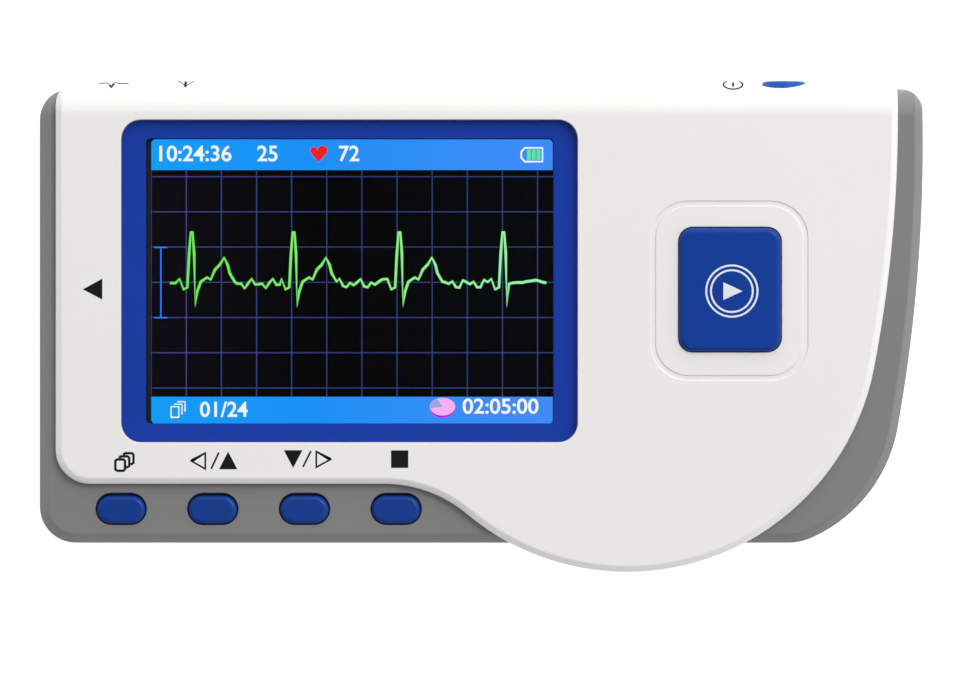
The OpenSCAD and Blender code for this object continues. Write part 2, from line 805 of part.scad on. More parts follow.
module battery_door() {
    rib_pitch = 1.6;
    rib_depth = 0.4;
    rib_w = 0.7;
    rib_l = 12;
    first_rib = door_top - 5;
    color([0.45, 0.45, 0.47])
    difference() {
        union() {
            intersection() {
                rear_form();
                translate([bay_x - door_w / 2, -top_y - over, 0])
                    cube([door_w, door_top + top_y + over, door_t]);
            }
            intersection() {
                linear_extrude(seam_z)
                    case_inside(0);
                translate([bay_x - door_w / 2 - rail_reach, -top_y, door_t - rail_t])
                    cube([door_w + 2 * rail_reach, door_top + top_y, rail_t]);
            }
        }
        for (k = [0:door_ribs - 1])
            box_at([bay_x, first_rib - k * rib_pitch], rib_l, rib_w, -over, rib_depth);
    }
}

// Electrodes: each is drawn by the same form as its recess, grown by gap
module left_plate(gap) {
    translate([left_x - over, left_plate_y - left_plate_l / 2 - gap,
               side_plate_z - side_plate_h / 2 - gap])
        cube([over + plate_steel + gap, left_plate_l + 2 * gap, side_plate_h + 2 * gap]);
}

module right_plate(gap) {
    translate([0, 0, side_plate_z - side_plate_h / 2 - gap])
        linear_extrude(side_plate_h + 2 * gap)
            intersection() {
                difference() {
                    translate([right_x - plate_steel - case_w / 20, right_plate_y - right_plate_l / 2 - gap])
                        square([case_w / 10, right_plate_l + 2 * gap]);
                    polygon(case_points(plate_steel + gap));
                }
                translate([right_x - case_w / 10, -case_h])
                    square([case_w / 5, 2 * case_h]);
            }
}

module stud(x0, x1, y, gap) {
    translate([x0, y, stud_z])
        rotate([0, 90, 0])
            cylinder(h = x1 - x0, d = stud_d + 2 * gap, $fn = 32);
}

stud_left_x = left_x + plate_steel / 2;
stud_right_x = reach_x(side_c, side_r - plate_steel / 2 - 0.1, right_plate_y);
module left_stud(gap) {
    stud(stud_left_x, left_x + side_wall + stud_in, left_plate_y, gap);
}
module right_stud(gap) {
    stud(stud_right_x - side_wall - stud_in, stud_right_x, right_plate_y, gap);
}

module left_electrode() {
    color([0.78, 0.78, 0.80])
    union() {
        intersection() {
            left_plate(0);
            shell_form();
        }
        left_stud(0);
    }
}

module right_electrode() {
    color([0.78, 0.78, 0.80])
    union() {
        intersection() {
            right_plate(0);
            shell_form();
        }
        right_stud(0);
    }
}

module back_plate(gap) {
    translate([back_plate_x, back_plate_y, -over])
        linear_extrude(over + plate_steel + gap)
            polygon(box_points(back_plate_l + 2 * gap, back_plate_h + 2 * gap,
                               back_plate_h / 4 + gap, 0));
}

stud_spread = 16;
stud_top = floor_t + 1;
module back_studs(gap) {
    for (s = [-1, 1])
        peg(back_plate_x + s * stud_spread / 2, back_plate_y, stud_d + 2 * gap,
            plate_steel / 2, stud_top);
}

module back_electrode() {
    color([0.78, 0.78, 0.80])
    union() {
        translate([back_plate_x, back_plate_y, 0])
            linear_extrude(plate_steel)
                polygon(box_points(back_plate_l, back_plate_h, back_plate_h / 4, 0));
        back_studs(0);
    }
}

// Window
module window_mask() {
    color([0.08, 0.20, 0.62])
    difference() {
        plate_at(window_c, window_w, window_h, window_r, shell_z, mask_z);
        box_at(view_c, view_w, view_h, shell_z - over, mask_z + over);
    }
}

module window_lens() {
    color([0.85, 0.90, 0.95, 0.4])
    plate_at(window_c, window_w, window_h, window_r, mask_z, face_z - window_sink);
}

// Keys: a cap in its opening, a flange that the front wall stops, and a foot
module start_key() {
    foot_d = 3;
    face = face_z + start_proud;
    color([0.06, 0.24, 0.58])
    union() {
        translate([start_c[0], start_c[1], 0])
            edged(function (i) box_points(start_w, start_h, start_r, i), key_gap,
                  flange_low, face, 0, start_bevel);
        plate_at(start_c, start_w + 2 * flange_reach, start_h + 2 * flange_reach,
                 start_r + flange_reach, flange_low, flange_top);
        peg(start_c[0], start_c[1], foot_d,
            key_board_top_z + snap_h + press_gap, flange_low + flange_t / 2);
    }
}

module pill_key(index) {
    foot_d = 2.4;
    c = [pill_x(index), pill_y];
    color([0.05, 0.22, 0.58])
    union() {
        translate([c[0], c[1], 0])
            edged(function (i) box_points(pill_w, pill_h, pill_h / 2, i), key_gap,
                  flange_low, shell_z + pill_proud, 0, pill_edge_r);
        intersection() {
            plate_at(c, pill_w + 2 * flange_reach, pill_h + 2 * flange_reach,
                     pill_h / 2 + flange_reach, flange_low, flange_top);
            linear_extrude(face_z)
                case_inside(key_gap);
        }
        peg(c[0], c[1], foot_d, board_z + mat_t + mat_dome_h + press_gap,
            flange_low + flange_t / 2);
    }
}

module pages_key() { pill_key(0); }
module left_up_key() { pill_key(1); }
module right_down_key() { pill_key(2); }
module stop_key() { pill_key(3); }

power_flange_d = power_d + 2 * flange_reach + 0.2;
power_flange_y = shell_top - side_wall - flange_gap;
power_foot_y = power_flange_y - flange_t - 0.3;
module power_key() {
    color([0.14, 0.38, 0.80])
    union() {
        bar_y(power_x, power_z, power_d, power_flange_y - flange_t, power_face);
        bar_y(power_x, power_z, power_flange_d, power_flange_y - flange_t, power_flange_y);
        bar_y(power_x, power_z, power_stem_d, power_foot_y, power_flange_y - flange_t / 2);
    }
}

// Side switch under the key board, with the plunger that the power key pushes
switch_w = 6;
switch_h = 3.6;
switch_front = power_foot_y - 0.8;
switch_back = bay_y + bay_l / 2 + bay_wall + 0.1;
plunger_d = 1.8;
plunger_in = 1.6;
module power_switch() {
    color([0.15, 0.15, 0.16])
    difference() {
        translate([power_x - switch_w / 2, switch_back, key_board_z - switch_h])
            cube([switch_w, switch_front - switch_back, switch_h]);
        bar_y(power_x, power_z, plunger_d + 2 * screw_play,
              switch_front - plunger_in - power_travel - press_gap, switch_front + over);
    }
}

module power_plunger() {
    color([0.85, 0.85, 0.82])
    bar_y(power_x, power_z, plunger_d, switch_front - plunger_in, power_foot_y);
}

// Thin dome of revolution standing at a height: an outer cap less an inner one
module dome_shell(d, h, t) {
    r = (d * d / 4 + h * h) / (2 * h);
    rotate_extrude($fn = 48)
        intersection() {
            difference() {
                translate([0, h - r])
                    circle(r = r, $fn = 128);
                translate([0, h - r])
                    circle(r = r - t, $fn = 128);
            }
            square([d, d]);
        }
}

module start_dome() {
    color([0.75, 0.74, 0.70])
    translate([start_c[0], start_c[1], key_board_top_z])
        dome_shell(snap_d, snap_h, snap_t);
}

module keypad_mat() {
    mat_edge = 0.6;
    mat_w = (pill_count - 1) * pill_pitch + mat_dome_d + 2 * mat_edge;
    mat_h = mat_dome_d + 2 * mat_edge;
    tip_d = 3.2;
    middle = [(pill_x(0) + pill_x(pill_count - 1)) / 2, pill_y];
    color([0.75, 0.75, 0.72])
    difference() {
        union() {
            intersection() {
                box_at(middle, mat_w, mat_h, board_z, board_z + mat_t);
                linear_extrude(face_z)
                    case_inside(board_gap);
            }
            for (i = [0:pill_count - 1])
                translate([pill_x(i), pill_y, board_z])
                    cylinder(h = mat_t + mat_dome_h, d1 = mat_dome_d, d2 = tip_d, $fn = 48);
        }
        for (i = [0:pill_count - 1])
            translate([pill_x(i), pill_y, board_z - over])
                cylinder(h = over + mat_t + mat_dome_h - mat_dome_wall,
                         d1 = mat_dome_d - mat_dome_wall, d2 = tip_d - 2 * mat_dome_wall,
                         $fn = 48);
    }
}

// Display module, from the foam in front to the backlight behind
rim_w = 1.6;
module display_gasket() {
    color([0.12, 0.12, 0.12])
    difference() {
        box_at(view_c, view_w + 2 * (view_gap + gasket_w), view_h + 2 * (view_gap + gasket_w),
               gasket_z, wall_z);
        box_at(view_c, view_w + 2 * view_gap, view_h + 2 * view_gap, gasket_z - over,
               wall_z + over);
    }
}

module display_frame() {
    color([0.70, 0.71, 0.73])
    difference() {
        box_at(view_c, display_w, display_h, board_z, gasket_z);
        box_at(view_c, display_w - 2 * frame_t, display_h - 2 * frame_t, board_z - over, cell_z);
        box_at(view_c, view_w + 2 * rim_w, view_h + 2 * rim_w, board_z - over, gasket_z + over);
    }
}

module display_cell() {
    color([0.03, 0.04, 0.06])
    box_at(view_c, display_w - 2 * frame_t, display_h - 2 * frame_t, backlight_z, cell_z);
}

module display_backlight() {
    color([0.92, 0.92, 0.92])
    box_at(view_c, display_w - 2 * frame_t, display_h - 2 * frame_t, board_z, backlight_z);
}

// Ribbon from the display's edge round the main board to its underside
board_right = left_x + board_end;
display_right = view_c[0] + display_w / 2;
flex_y = view_c[1];
flex_w = 22;
flex_out = 1.2;
flex_run = 8;
connector_w = 26;
connector_l = 4;
connector_h = 1.6;
module display_flex() {
    x0 = display_right;
    x1 = max(display_right, board_right) + flex_out;
    z1 = board_z + 0.8;
    z0 = board_low - ribbon_t;
    color([0.75, 0.45, 0.12])
    translate([0, flex_y + flex_w / 2, 0])
        rotate([90, 0, 0])
            linear_extrude(flex_w)
                difference() {
                    polygon([[x0, z1], [x1 - ribbon_t, z1], [x1, z1 - ribbon_t], [x1, z0 + ribbon_t],
                             [x1 - ribbon_t, z0], [x0 - flex_run, z0], [x0 - flex_run, z0 + ribbon_t],
                             [x0, z0 + ribbon_t]]);
                    polygon([[x0 - over, z1 - ribbon_t], [x1 - 2 * ribbon_t, z1 - ribbon_t],
                             [x1 - ribbon_t, z1 - 2 * ribbon_t], [x1 - ribbon_t, z0 + 2 * ribbon_t],
                             [x1 - 2 * ribbon_t, z0 + ribbon_t], [x0 - over, z0 + ribbon_t]]);
                }
}

module display_connector() {
    x1 = display_right - flex_run;
    color([0.90, 0.88, 0.80])
    box_at([x1 - connector_l / 2, flex_y], connector_l, connector_w,
           board_low - connector_h, board_low);
}

// Main board under the display, with holes round the bosses
buzzer_left = 46;
buzzer_rise = 11;
buzzer_c = [left_x + buzzer_left, shell_bottom + buzzer_rise];
post_drop = 9;
post_left = 13;
post_mid = 34;
post_in = 8.4;
board_posts = [
    [left_x + post_mid, top_y - post_drop],
    [left_x + post_left, shell_bottom + buzzer_rise],
    [board_right - post_in, top_y - post_drop],
    [board_right - post_in, shell_bottom + post_drop]
];
module main_board() {
    color([0.10, 0.38, 0.22])
    difference() {
        translate([0, 0, board_low])
            linear_extrude(board_t)
                intersection() {
                    polygon(case_points(side_wall + board_gap));
                    translate([left_x, -case_h])
                        square([board_end, 2 * case_h]);
                }
        for (p = boss_places)
            peg(p[0], p[1], boss_d + 2 * board_gap, board_low - over, board_z + over);
    }
}

module key_board() {
    edge_y = power_foot_y - power_travel - board_gap - 0.3;
    color([0.10, 0.38, 0.22])
    box_at([bay_x, edge_y - key_board_h / 2], key_board_w, key_board_h, key_board_z,
           key_board_top_z);
}

// Chips on the underside of the main board: place from the display's middle, length,
// width and height of each; the fifth stands beside the display's connector
chip_gap = 1;
chip_w = 6;
chip_by_connector = display_right - flex_run - connector_l - chip_gap - chip_w / 2 - view_c[0];
chips = [
    [-10.9, 4.9, 10, 10, 1.2],
    [8.1, 10.9, 8, 6, 1],
    [-7.9, -11.1, 7, 5, 1],
    [-22.9, -3.1, 5, 5, 1],
    [chip_by_connector, -9.1, chip_w, 5, 1.1],
    [16.1, -17.1, 5, 4, 1]
];
module board_chips() {
    color([0.08, 0.08, 0.09])
    for (c = chips)
        box_at([view_c[0] + c[0], view_c[1] + c[1]], c[2], c[3], board_low - c[4], board_low);
}

can_c = [view_c[0] + 3.1, view_c[1] - 5.1];
can_w = 14;
can_h = 16;
can_z = 2.6;
can_t = 0.3;
module shield_can() {
    color([0.76, 0.77, 0.78])
    difference() {
        box_at(can_c, can_w, can_h, board_low - can_z, board_low);
        box_at(can_c, can_w - 2 * can_t, can_h - 2 * can_t, board_low - can_z + can_t,
               board_low + over);
    }
}

crystal_d = 2;
crystal_l = 6;
crystal_left = 17.9;
module clock_crystal() {
    color([0.80, 0.80, 0.80])
    bar_y(view_c[0] - crystal_left, board_low - crystal_d / 2, crystal_d, can_c[1],
          can_c[1] + crystal_l);
}

module buzzer() {
    sound_d = 2;
    color([0.07, 0.07, 0.07])
    difference() {
        peg(buzzer_c[0], buzzer_c[1], buzzer_d, board_low - buzzer_h, board_low);
        peg(buzzer_c[0], buzzer_c[1], sound_d, board_low - buzzer_h - over,
            board_low - buzzer_h / 2);
    }
}

// Flat ribbon that steps down from the key board to the main board
ribbon_w = 4;
ribbon_bend = 1;
ribbon_high_lap = 2.5;
ribbon_low_lap = 5;
module link_ribbon() {
    x_edge = bay_x - key_board_w / 2 - ribbon_bend;
    x_high = x_edge + ribbon_high_lap;
    x_low = board_right - ribbon_bend;
    x_end = x_low - ribbon_low_lap;
    y0 = view_c[1] - display_h / 2 - board_gap - ribbon_w;
    zh = key_board_top_z;
    zl = board_z;
    color([0.93, 0.93, 0.90])
    translate([0, y0 + ribbon_w, 0])
        rotate([90, 0, 0])
            linear_extrude(ribbon_w)
                polygon([[x_end, zl], [x_low, zl], [x_edge, zh], [x_high, zh],
                         [x_high, zh + ribbon_t], [x_edge - ribbon_t, zh + ribbon_t],
                         [x_low - ribbon_t, zl + ribbon_t], [x_end, zl + ribbon_t]]);
}

// Sockets on the top side
jack_clear = 0.2;
nose_root = 0.05;
bore_reach = 2;
module lead_socket() {
    body_front = shell_top - side_wall - jack_clear;
    bore_l = jack_l + bore_reach;
    color([0.10, 0.10, 0.11])
    difference() {
        union() {
            translate([lead_x - jack_w / 2, body_front - jack_l, board_low - jack_h])
                cube([jack_w, jack_l, jack_h]);
            bar_y(lead_x, lead_z, jack_nose_d, body_front - nose_root, socket_mouth);
        }
        bar_y(lead_x, lead_z, jack_bore, socket_mouth - bore_l, socket_mouth + over);
    }
}

module data_socket() {
    color([0.78, 0.78, 0.80])
    difference() {
        translate([data_x - data_w / 2, socket_mouth - data_l, data_z - data_h / 2])
            cube([data_w, data_l, data_h]);
        translate([data_x - data_w / 2 + data_t, socket_mouth - data_l - over,
                   data_z - data_h / 2 + data_t])
            cube([data_w - 2 * data_t, data_l + 2 * over, data_h - 2 * data_t]);
    }
}

module data_socket_core() {
    tongue_w = 4.6;
    tongue_h = 1.2;
    root_l = 2;
    color([0.10, 0.10, 0.11])
    union() {
        translate([data_x - data_w / 2 + data_t, socket_mouth - data_l, data_z - data_h / 2 + data_t])
            cube([data_w - 2 * data_t, root_l, data_h - 2 * data_t]);
        translate([data_x - tongue_w / 2, socket_mouth - data_l + root_l / 2, data_z - tongue_h / 2])
            cube([tongue_w, data_l - root_l / 2 - 1, tongue_h]);
    }
}

// Batteries lie along Y, side by side and turned opposite ways
module battery(side) {
    bevel = 0.5;
    end = bay_y + side * (bay_l / 2 - plate_t);
    translate([battery_x(-side), end, battery_z])
        rotate([side * 90, 0, 0])
            rotate_extrude($fn = 64)
                polygon([
                    [0, 0], [nub_d / 2, 0], [nub_d / 2, nub_l], [cell_d / 2 - bevel, nub_l],
                    [cell_d / 2, nub_l + bevel], [cell_d / 2, cell_l - bevel],
                    [cell_d / 2 - bevel, cell_l], [0, cell_l]
                ]);
}
module battery_1() { color([0.20, 0.45, 0.30]) battery(1); }
module battery_2() { color([0.20, 0.45, 0.30]) battery(-1); }

// Contact plates: one bridge at the top end, two tabs at the low end
plate_w = 8.6;
plate_h = 8.6;
tab_z = 9.6;
tab_w = 2;
tab_out = 2;
module contact_plates() {
    high_end = bay_y + bay_l / 2;
    low_end = bay_y - bay_l / 2;
    color([0.80, 0.79, 0.76])
    union() {
        translate([battery_x(-1) - plate_w / 2, high_end - plate_t, battery_z - plate_h / 2])
            cube([battery_x(1) - battery_x(-1) + plate_w, plate_t, plate_h]);
        for (side = [-1, 1]) {
            translate([battery_x(side) - plate_w / 2, low_end, battery_z - plate_h / 2])
                cube([plate_w, plate_t, plate_h]);
            translate([battery_x(side) - tab_w / 2, low_end - bay_wall - tab_out, tab_z])
                cube([tab_w, bay_wall + tab_out + plate_t / 2, plate_t]);
        }
    }
}

module tab_slots() {
    for (side = [-1, 1])
        translate([battery_x(side) - tab_w / 2 - cover_gap, bay_y - bay_l / 2 - bay_wall - over,
                   tab_z - cover_gap])
            cube([tab_w + 2 * cover_gap, bay_wall + 2 * over, plate_t + 2 * cover_gap]);
}

// One cone-shaped spring, its wide curl at the plate and its narrow one at the battery
spring_rings = 8;
spring_sides = 6;
function spring_path(length) =
    let (n = spring_curls * spring_rings)
    [for (i = [0:n])
        let (
            s = i / n,
            r = (spring_d + (spring_tip_d - spring_d) * s) / 2 - spring_wire / 2,
            a = 360 * spring_curls * s
        )
        [r * cos(a), r * sin(a), spring_wire / 2 + (length - spring_wire) * s]];
function least_gap(path, rings, wire) =
    min([for (i = [0:len(path) - 1 - rings + 2]) for (j = [i + rings - 2:len(path) - 1])
        norm(path[i] - path[j])]) - wire;
module battery_springs() {
    path = spring_path(spring_l);
    echo(spring_gap = least_gap(path, spring_rings, spring_wire));
    color([0.80, 0.79, 0.76])
    for (side = [-1, 1])
        translate([battery_x(side), bay_y + side * (bay_l / 2 - plate_t), battery_z])
            rotate([side * 90, 0, 0])
                tube(path, spring_wire / 2, spring_sides, [0, 0, 1]);
}

// Wires, each along its own bends
module wire(path, up) {
    tube(path, wire_d / 2, 8, up);
}

lane_gap = 0.4;
bay_left = bay_x - bay_w / 2 - bay_wall;
bay_right_x = bay_x + bay_w / 2 + bay_wall;
lane_x = bay_left - lane_gap - wire_d / 2;
lane_high = bay_y + bay_l / 2 + bay_wall + lane_gap + 1.25 * wire_d;
lane_low = bay_y - bay_l / 2 - bay_wall - lane_gap - 1.25 * wire_d;
lane_turn = 1.4 * wire_d;
pad_in = 4;
red_leave = 18;
red_pad = 13;
black_leave = 20;
module battery_wires() {
    join_z = tab_z - wire_d / 2;
    high_z = join_z - wire_d;
    low_z = join_z - 4 * wire_d;
    first_pad = [board_right - pad_in - wire_d, bay_y - red_pad - 4 * wire_d];
    second_pad = [board_right - pad_in, bay_y - red_pad];
    color([0.70, 0.10, 0.08])
    union() {
        wire([[battery_x(-1), lane_low, join_z], [bay_left, lane_low, high_z],
              [lane_x, lane_low + lane_turn, high_z], [lane_x, bay_y - black_leave, high_z],
              [first_pad[0], first_pad[1], join_z], [first_pad[0], first_pad[1], board_low]],
             [0, 0.2, 1]);
        wire([[battery_x(1), lane_low, join_z], [battery_x(1) - 5 * wire_d, lane_low, low_z],
              [bay_left, lane_low, low_z], [lane_x, lane_low + lane_turn, low_z],
              [lane_x, bay_y - red_leave, low_z],
              [second_pad[0], second_pad[1], join_z - wire_d],
              [second_pad[0], second_pad[1], board_low]],
             [0, 0.2, 1]);
    }
}

module electrode_wires() {
    left_end = left_x + side_wall + stud_in + wire_d / 2;
    right_end = stud_right_x - side_wall - stud_in - wire_d / 2;
    low = floor_t + 5.25 * wire_d;
    rise = 2 * wire_d;
    pad = [board_right - pad_in, bay_y + black_leave - wire_d];
    color([0.15, 0.15, 0.16])
    union() {
        wire([[left_end, left_plate_y, stud_z - stud_d / 2], [left_end, left_plate_y, stud_z],
              [left_end + rise, left_plate_y, board_low - wire_d],
              [left_end + rise, left_plate_y, board_low]], [0, 1, 0]);
        wire([[right_end, right_plate_y, stud_z - stud_d / 2],
              [right_end - wire_d / 2, right_plate_y + wire_d, low],
              [bay_right_x + 2 * wire_d, lane_high - 3 * wire_d, low],
              [bay_right_x, lane_high, low], [lane_x + lane_turn, lane_high, low],
              [lane_x, lane_high - lane_turn, low], [lane_x, pad[1] + wire_d, low],
              [pad[0], pad[1], low + rise], [pad[0], pad[1], board_low]],
             [0, 0.1, 1]);
        for (s = [-1, 1])
            wire([[back_plate_x + s * stud_spread / 2, back_plate_y, stud_top],
                  [back_plate_x + s * stud_spread / 2, back_plate_y, stud_top + wire_d],
                  [back_plate_x + s * (stud_spread / 2 + wire_d), back_plate_y, board_low - rise],
                  [back_plate_x + s * (stud_spread / 2 + wire_d), back_plate_y, board_low]],
                 [0, 1, 0]);
    }
}

module case_screws() {
    slot_w = 0.7;
    color([0.60, 0.61, 0.63])
    for (p = boss_places)
        difference() {
            union() {
                peg(p[0], p[1], screw_head_d, screw_seat - screw_head_h, screw_seat);
                peg(p[0], p[1], screw_d, screw_seat - screw_head_h / 2, screw_end);
            }
            for (turn = [0, 90])
                translate([p[0], p[1], screw_seat - screw_head_h])
                    rotate(turn)
                        box_at([0, 0], screw_head_d * 0.6, slot_w, -over, screw_head_h / 2);
        }
}

fascia();
front_shell();
rear_cover();
battery_door();
window_lens();
window_mask();
start_key();
pages_key();
left_up_key();
right_down_key();
stop_key();
power_key();
power_plunger();
power_switch();
start_dome();
keypad_mat();
display_cell();
display_frame();
display_backlight();
display_gasket();
display_flex();
display_connector();
main_board();
board_chips();
shield_can();
clock_crystal();
buzzer();
key_board();
link_ribbon();
lead_socket();
data_socket();
data_socket_core();
left_electrode();
right_electrode();
back_electrode();
electrode_wires();
battery_1();
battery_2();
contact_plates();
battery_springs();
battery_wires();
case_screws();
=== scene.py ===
import bpy
import bmesh
import contextlib
import math
import mathutils
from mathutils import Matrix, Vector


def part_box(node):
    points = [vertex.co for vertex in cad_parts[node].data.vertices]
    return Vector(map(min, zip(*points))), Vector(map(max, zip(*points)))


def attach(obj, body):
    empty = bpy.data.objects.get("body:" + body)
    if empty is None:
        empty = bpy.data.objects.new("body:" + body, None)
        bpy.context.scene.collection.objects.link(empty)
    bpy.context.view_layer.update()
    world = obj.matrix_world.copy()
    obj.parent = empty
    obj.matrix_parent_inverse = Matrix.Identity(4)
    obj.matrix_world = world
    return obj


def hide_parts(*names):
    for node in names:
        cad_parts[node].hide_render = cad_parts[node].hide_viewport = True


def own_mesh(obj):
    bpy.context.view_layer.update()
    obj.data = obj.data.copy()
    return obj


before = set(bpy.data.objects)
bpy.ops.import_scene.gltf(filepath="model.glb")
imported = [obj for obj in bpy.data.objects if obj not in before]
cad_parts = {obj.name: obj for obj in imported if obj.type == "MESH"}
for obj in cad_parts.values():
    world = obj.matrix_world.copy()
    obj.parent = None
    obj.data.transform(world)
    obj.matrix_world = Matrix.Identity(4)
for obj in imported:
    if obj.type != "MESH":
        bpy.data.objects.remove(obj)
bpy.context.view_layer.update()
mm = 0.001
print("frame loaded")


# helpers for modelling, sizes in millimetres

def letGo():
    if bpy.context.object and bpy.context.object.mode != "OBJECT":
        bpy.ops.object.mode_set(mode="OBJECT")
    bpy.ops.object.select_all(action="DESELECT")


def takeUp(piece):
    letGo()
    piece.select_set(True)
    bpy.context.view_layer.objects.active = piece


@contextlib.contextmanager
def editing(piece):
    # in edit mode, with all of the piece selected
    takeUp(piece)
    bpy.ops.object.mode_set(mode="EDIT")
    bpy.ops.mesh.select_all(action="SELECT")
    yield
    bpy.ops.object.mode_set(mode="OBJECT")


def named(name):
    piece = bpy.context.object
    piece.name = name
    piece.data.name = name
    return piece


def settled(name):
    # a new primitive takes its place into its mesh
    bpy.ops.object.transform_apply(location=True, rotation=True, scale=True)
    return named(name)


def inMetres(place):
    return [value * mm for value in place]


def pointAround(centre, reach, turn):
    angle = math.radians(turn)
    return (centre[0] + reach * math.cos(angle), centre[1] + reach * math.sin(angle))


def bearing(fromPoint, toPoint):
    return math.degrees(math.atan2(toPoint[1] - fromPoint[1], toPoint[0] - fromPoint[0]))


def firstPoint(name, place):
    # a plane merged to one vertex, from which a line is drawn
    letGo()
    bpy.ops.mesh.primitive_plane_add(size=mm, location=(0, 0, 0))
    bpy.ops.object.mode_set(mode="EDIT")
    bpy.ops.mesh.select_mode(type="VERT")
    bpy.ops.mesh.merge(type="CENTER")
    bpy.ops.transform.translate(value=inMetres(place))
    return named(name)


def drawOn(step):
    bpy.ops.mesh.extrude_region_move(TRANSFORM_OT_translate={"value": inMetres(step)})


def drawOutline(name, start, strokes, height):
    # a stroke is the end of a line, or an arc's centre, two bearings and steps; then the loop is filled
    piece = firstPoint(name, (*start, height))
    x, y = start
    for stroke in strokes:
        if len(stroke) == 2:
            drawOn((stroke[0] - x, stroke[1] - y, 0))
            x, y = stroke
        else:
            centre, turnFrom, turnTo, steps = stroke
            reach = math.dist((x, y), centre)
            bpy.ops.mesh.spin(steps=steps, angle=math.radians(turnFrom - turnTo),
                              center=inMetres((*centre, height)), axis=(0, 0, 1))
            x, y = pointAround(centre, reach, turnTo)
    bpy.ops.mesh.select_all(action="SELECT")
    bpy.ops.mesh.remove_doubles(threshold=0.03 * mm)
    bpy.ops.mesh.edge_face_add()
    return piece


def pull(piece, depth):
    # the drawn face becomes a slab
    with editing(piece):
        drawOn((0, 0, depth))
        bpy.ops.mesh.select_all(action="SELECT")
        bpy.ops.mesh.normals_make_consistent(inside=False)
    return piece


def block(name, low, high):
    letGo()
    centre = [(a + b) / 2 for a, b in zip(low, high)]
    span = [b - a for a, b in zip(low, high)]
    bpy.ops.mesh.primitive_cube_add(size=1, location=inMetres(centre), scale=inMetres(span))
    return settled(name)


def rod(name, centre, radius, depth, axis="Z", sides=64):
    letGo()
    turn = {"X": (0, math.pi / 2, 0), "Y": (math.pi / 2, 0, 0), "Z": (0, 0, 0)}[axis]
    bpy.ops.mesh.primitive_cylinder_add(vertices=sides, radius=radius * mm, depth=depth * mm,
                                        location=inMetres(centre), rotation=turn)
    return settled(name)


def pickEdges(piece, wanted):
    # piece is in edit mode, wanted gets the two ends in millimetres and the fold in degrees
    mesh = bmesh.from_edit_mesh(piece.data)
    bpy.ops.mesh.select_all(action="DESELECT")
    for edge in mesh.edges:
        ends = [v.co / mm for v in edge.verts]
        fold = math.degrees(edge.calc_face_angle(0)) if len(edge.link_faces) == 2 else 180
        if wanted(ends[0], ends[1], fold):
            edge.select_set(True)
    mesh.select_flush(False)
    bmesh.update_edit_mesh(piece.data)


def easeEdges(piece, wanted, width, segments):
    with editing(piece):
        bpy.ops.mesh.select_mode(type="EDGE")
        pickEdges(piece, wanted)
        bpy.ops.mesh.bevel(offset=width * mm, segments=segments, profile=0.5, clamp_overlap=False)


def atLevel(a, b, level):
    return max(abs(a.z - level), abs(b.z - level)) < 0.01


def easeRim(piece, level, width, segments, sharp=-1):
    # edges at one height whose fold is over so many degrees
    easeEdges(piece, lambda a, b, fold: fold > sharp and atLevel(a, b, level), width, segments)


def roundSlab(name, centre, width, height, radius, low, high, segments=8):
    # a block whose upright edges are rounded
    x, y, half = *centre, (width / 2, height / 2)
    piece = block(name, (x - half[0], y - half[1], low), (x + half[0], y + half[1], high))
    easeEdges(piece, lambda a, b, fold: abs(a.z - b.z) > 0.001, radius, segments)
    with editing(piece):
        bpy.ops.mesh.remove_doubles(threshold=0.001 * mm)
    return piece


def join(piece, tool, operation):
    takeUp(piece)
    bpy.ops.object.modifier_add(type="BOOLEAN")
    step = piece.modifiers[-1]
    step.operation = operation
    step.solver = "EXACT"
    step.object = tool
    bpy.ops.object.modifier_apply(modifier=step.name)
    bpy.data.objects.remove(tool)
    with editing(piece):
        bpy.ops.mesh.remove_doubles(threshold=0.004 * mm)
        bpy.ops.mesh.dissolve_degenerate(threshold=0.001 * mm)
    return piece


def carve(piece, tool):
    return join(piece, tool, "DIFFERENCE")


def weld(piece, tool):
    return join(piece, tool, "UNION")


def fit(piece, body, material, slot, *nodes, smooth=40):
    # faces that meet at less than that many degrees are shaded as one
    takeUp(piece)
    bpy.ops.object.shade_smooth_by_angle(angle=math.radians(smooth))
    bpy.ops.object.modifier_add(type="WEIGHTED_NORMAL")
    step = piece.modifiers[-1]
    step.keep_sharp = True
    bpy.ops.object.modifier_apply(modifier=step.name)
    letGo()
    piece.data.materials.clear()
    piece.data.materials.append(material)
    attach(piece, body)
    if nodes:
        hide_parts(*nodes)
    return piece


# helpers for finishes

def finish(name):
    material = bpy.data.materials.new(name)
    material.use_nodes = True
    return material, material.node_tree


def setSockets(tree, node, sockets):
    # a socket is fed by another node's output, or holds a value of its own
    for socket, value in dict(sockets).items():
        if hasattr(value, "links"):
            tree.links.new(value, node.inputs[socket])
        else:
            node.inputs[socket].default_value = value
    return node


def setShader(tree, sockets):
    setSockets(tree, tree.nodes["Principled BSDF"], sockets)


def addNode(tree, kind, sockets=(), **settings):
    node = tree.nodes.new("ShaderNode" + kind)
    for setting, value in settings.items():
        setattr(node, setting, value)
    return setSockets(tree, node, sockets)


def objectPlace(tree):
    return addNode(tree, "TexCoord").outputs["Object"]


def placeParts(tree):
    return addNode(tree, "SeparateXYZ", {0: objectPlace(tree)}).outputs


def noise(tree, place, scale, detail=2):
    return addNode(tree, "TexNoise", {"Vector": place, "Scale": scale, "Detail": detail}).outputs["Fac"]


def spots(tree, place, scale):
    return addNode(tree, "TexVoronoi", {"Vector": place, "Scale": scale}).outputs["Distance"]


def bumps(tree, height, strength, depth):
    sockets = {"Height": height, "Strength": strength, "Distance": depth * mm}
    return addNode(tree, "Bump", sockets).outputs["Normal"]


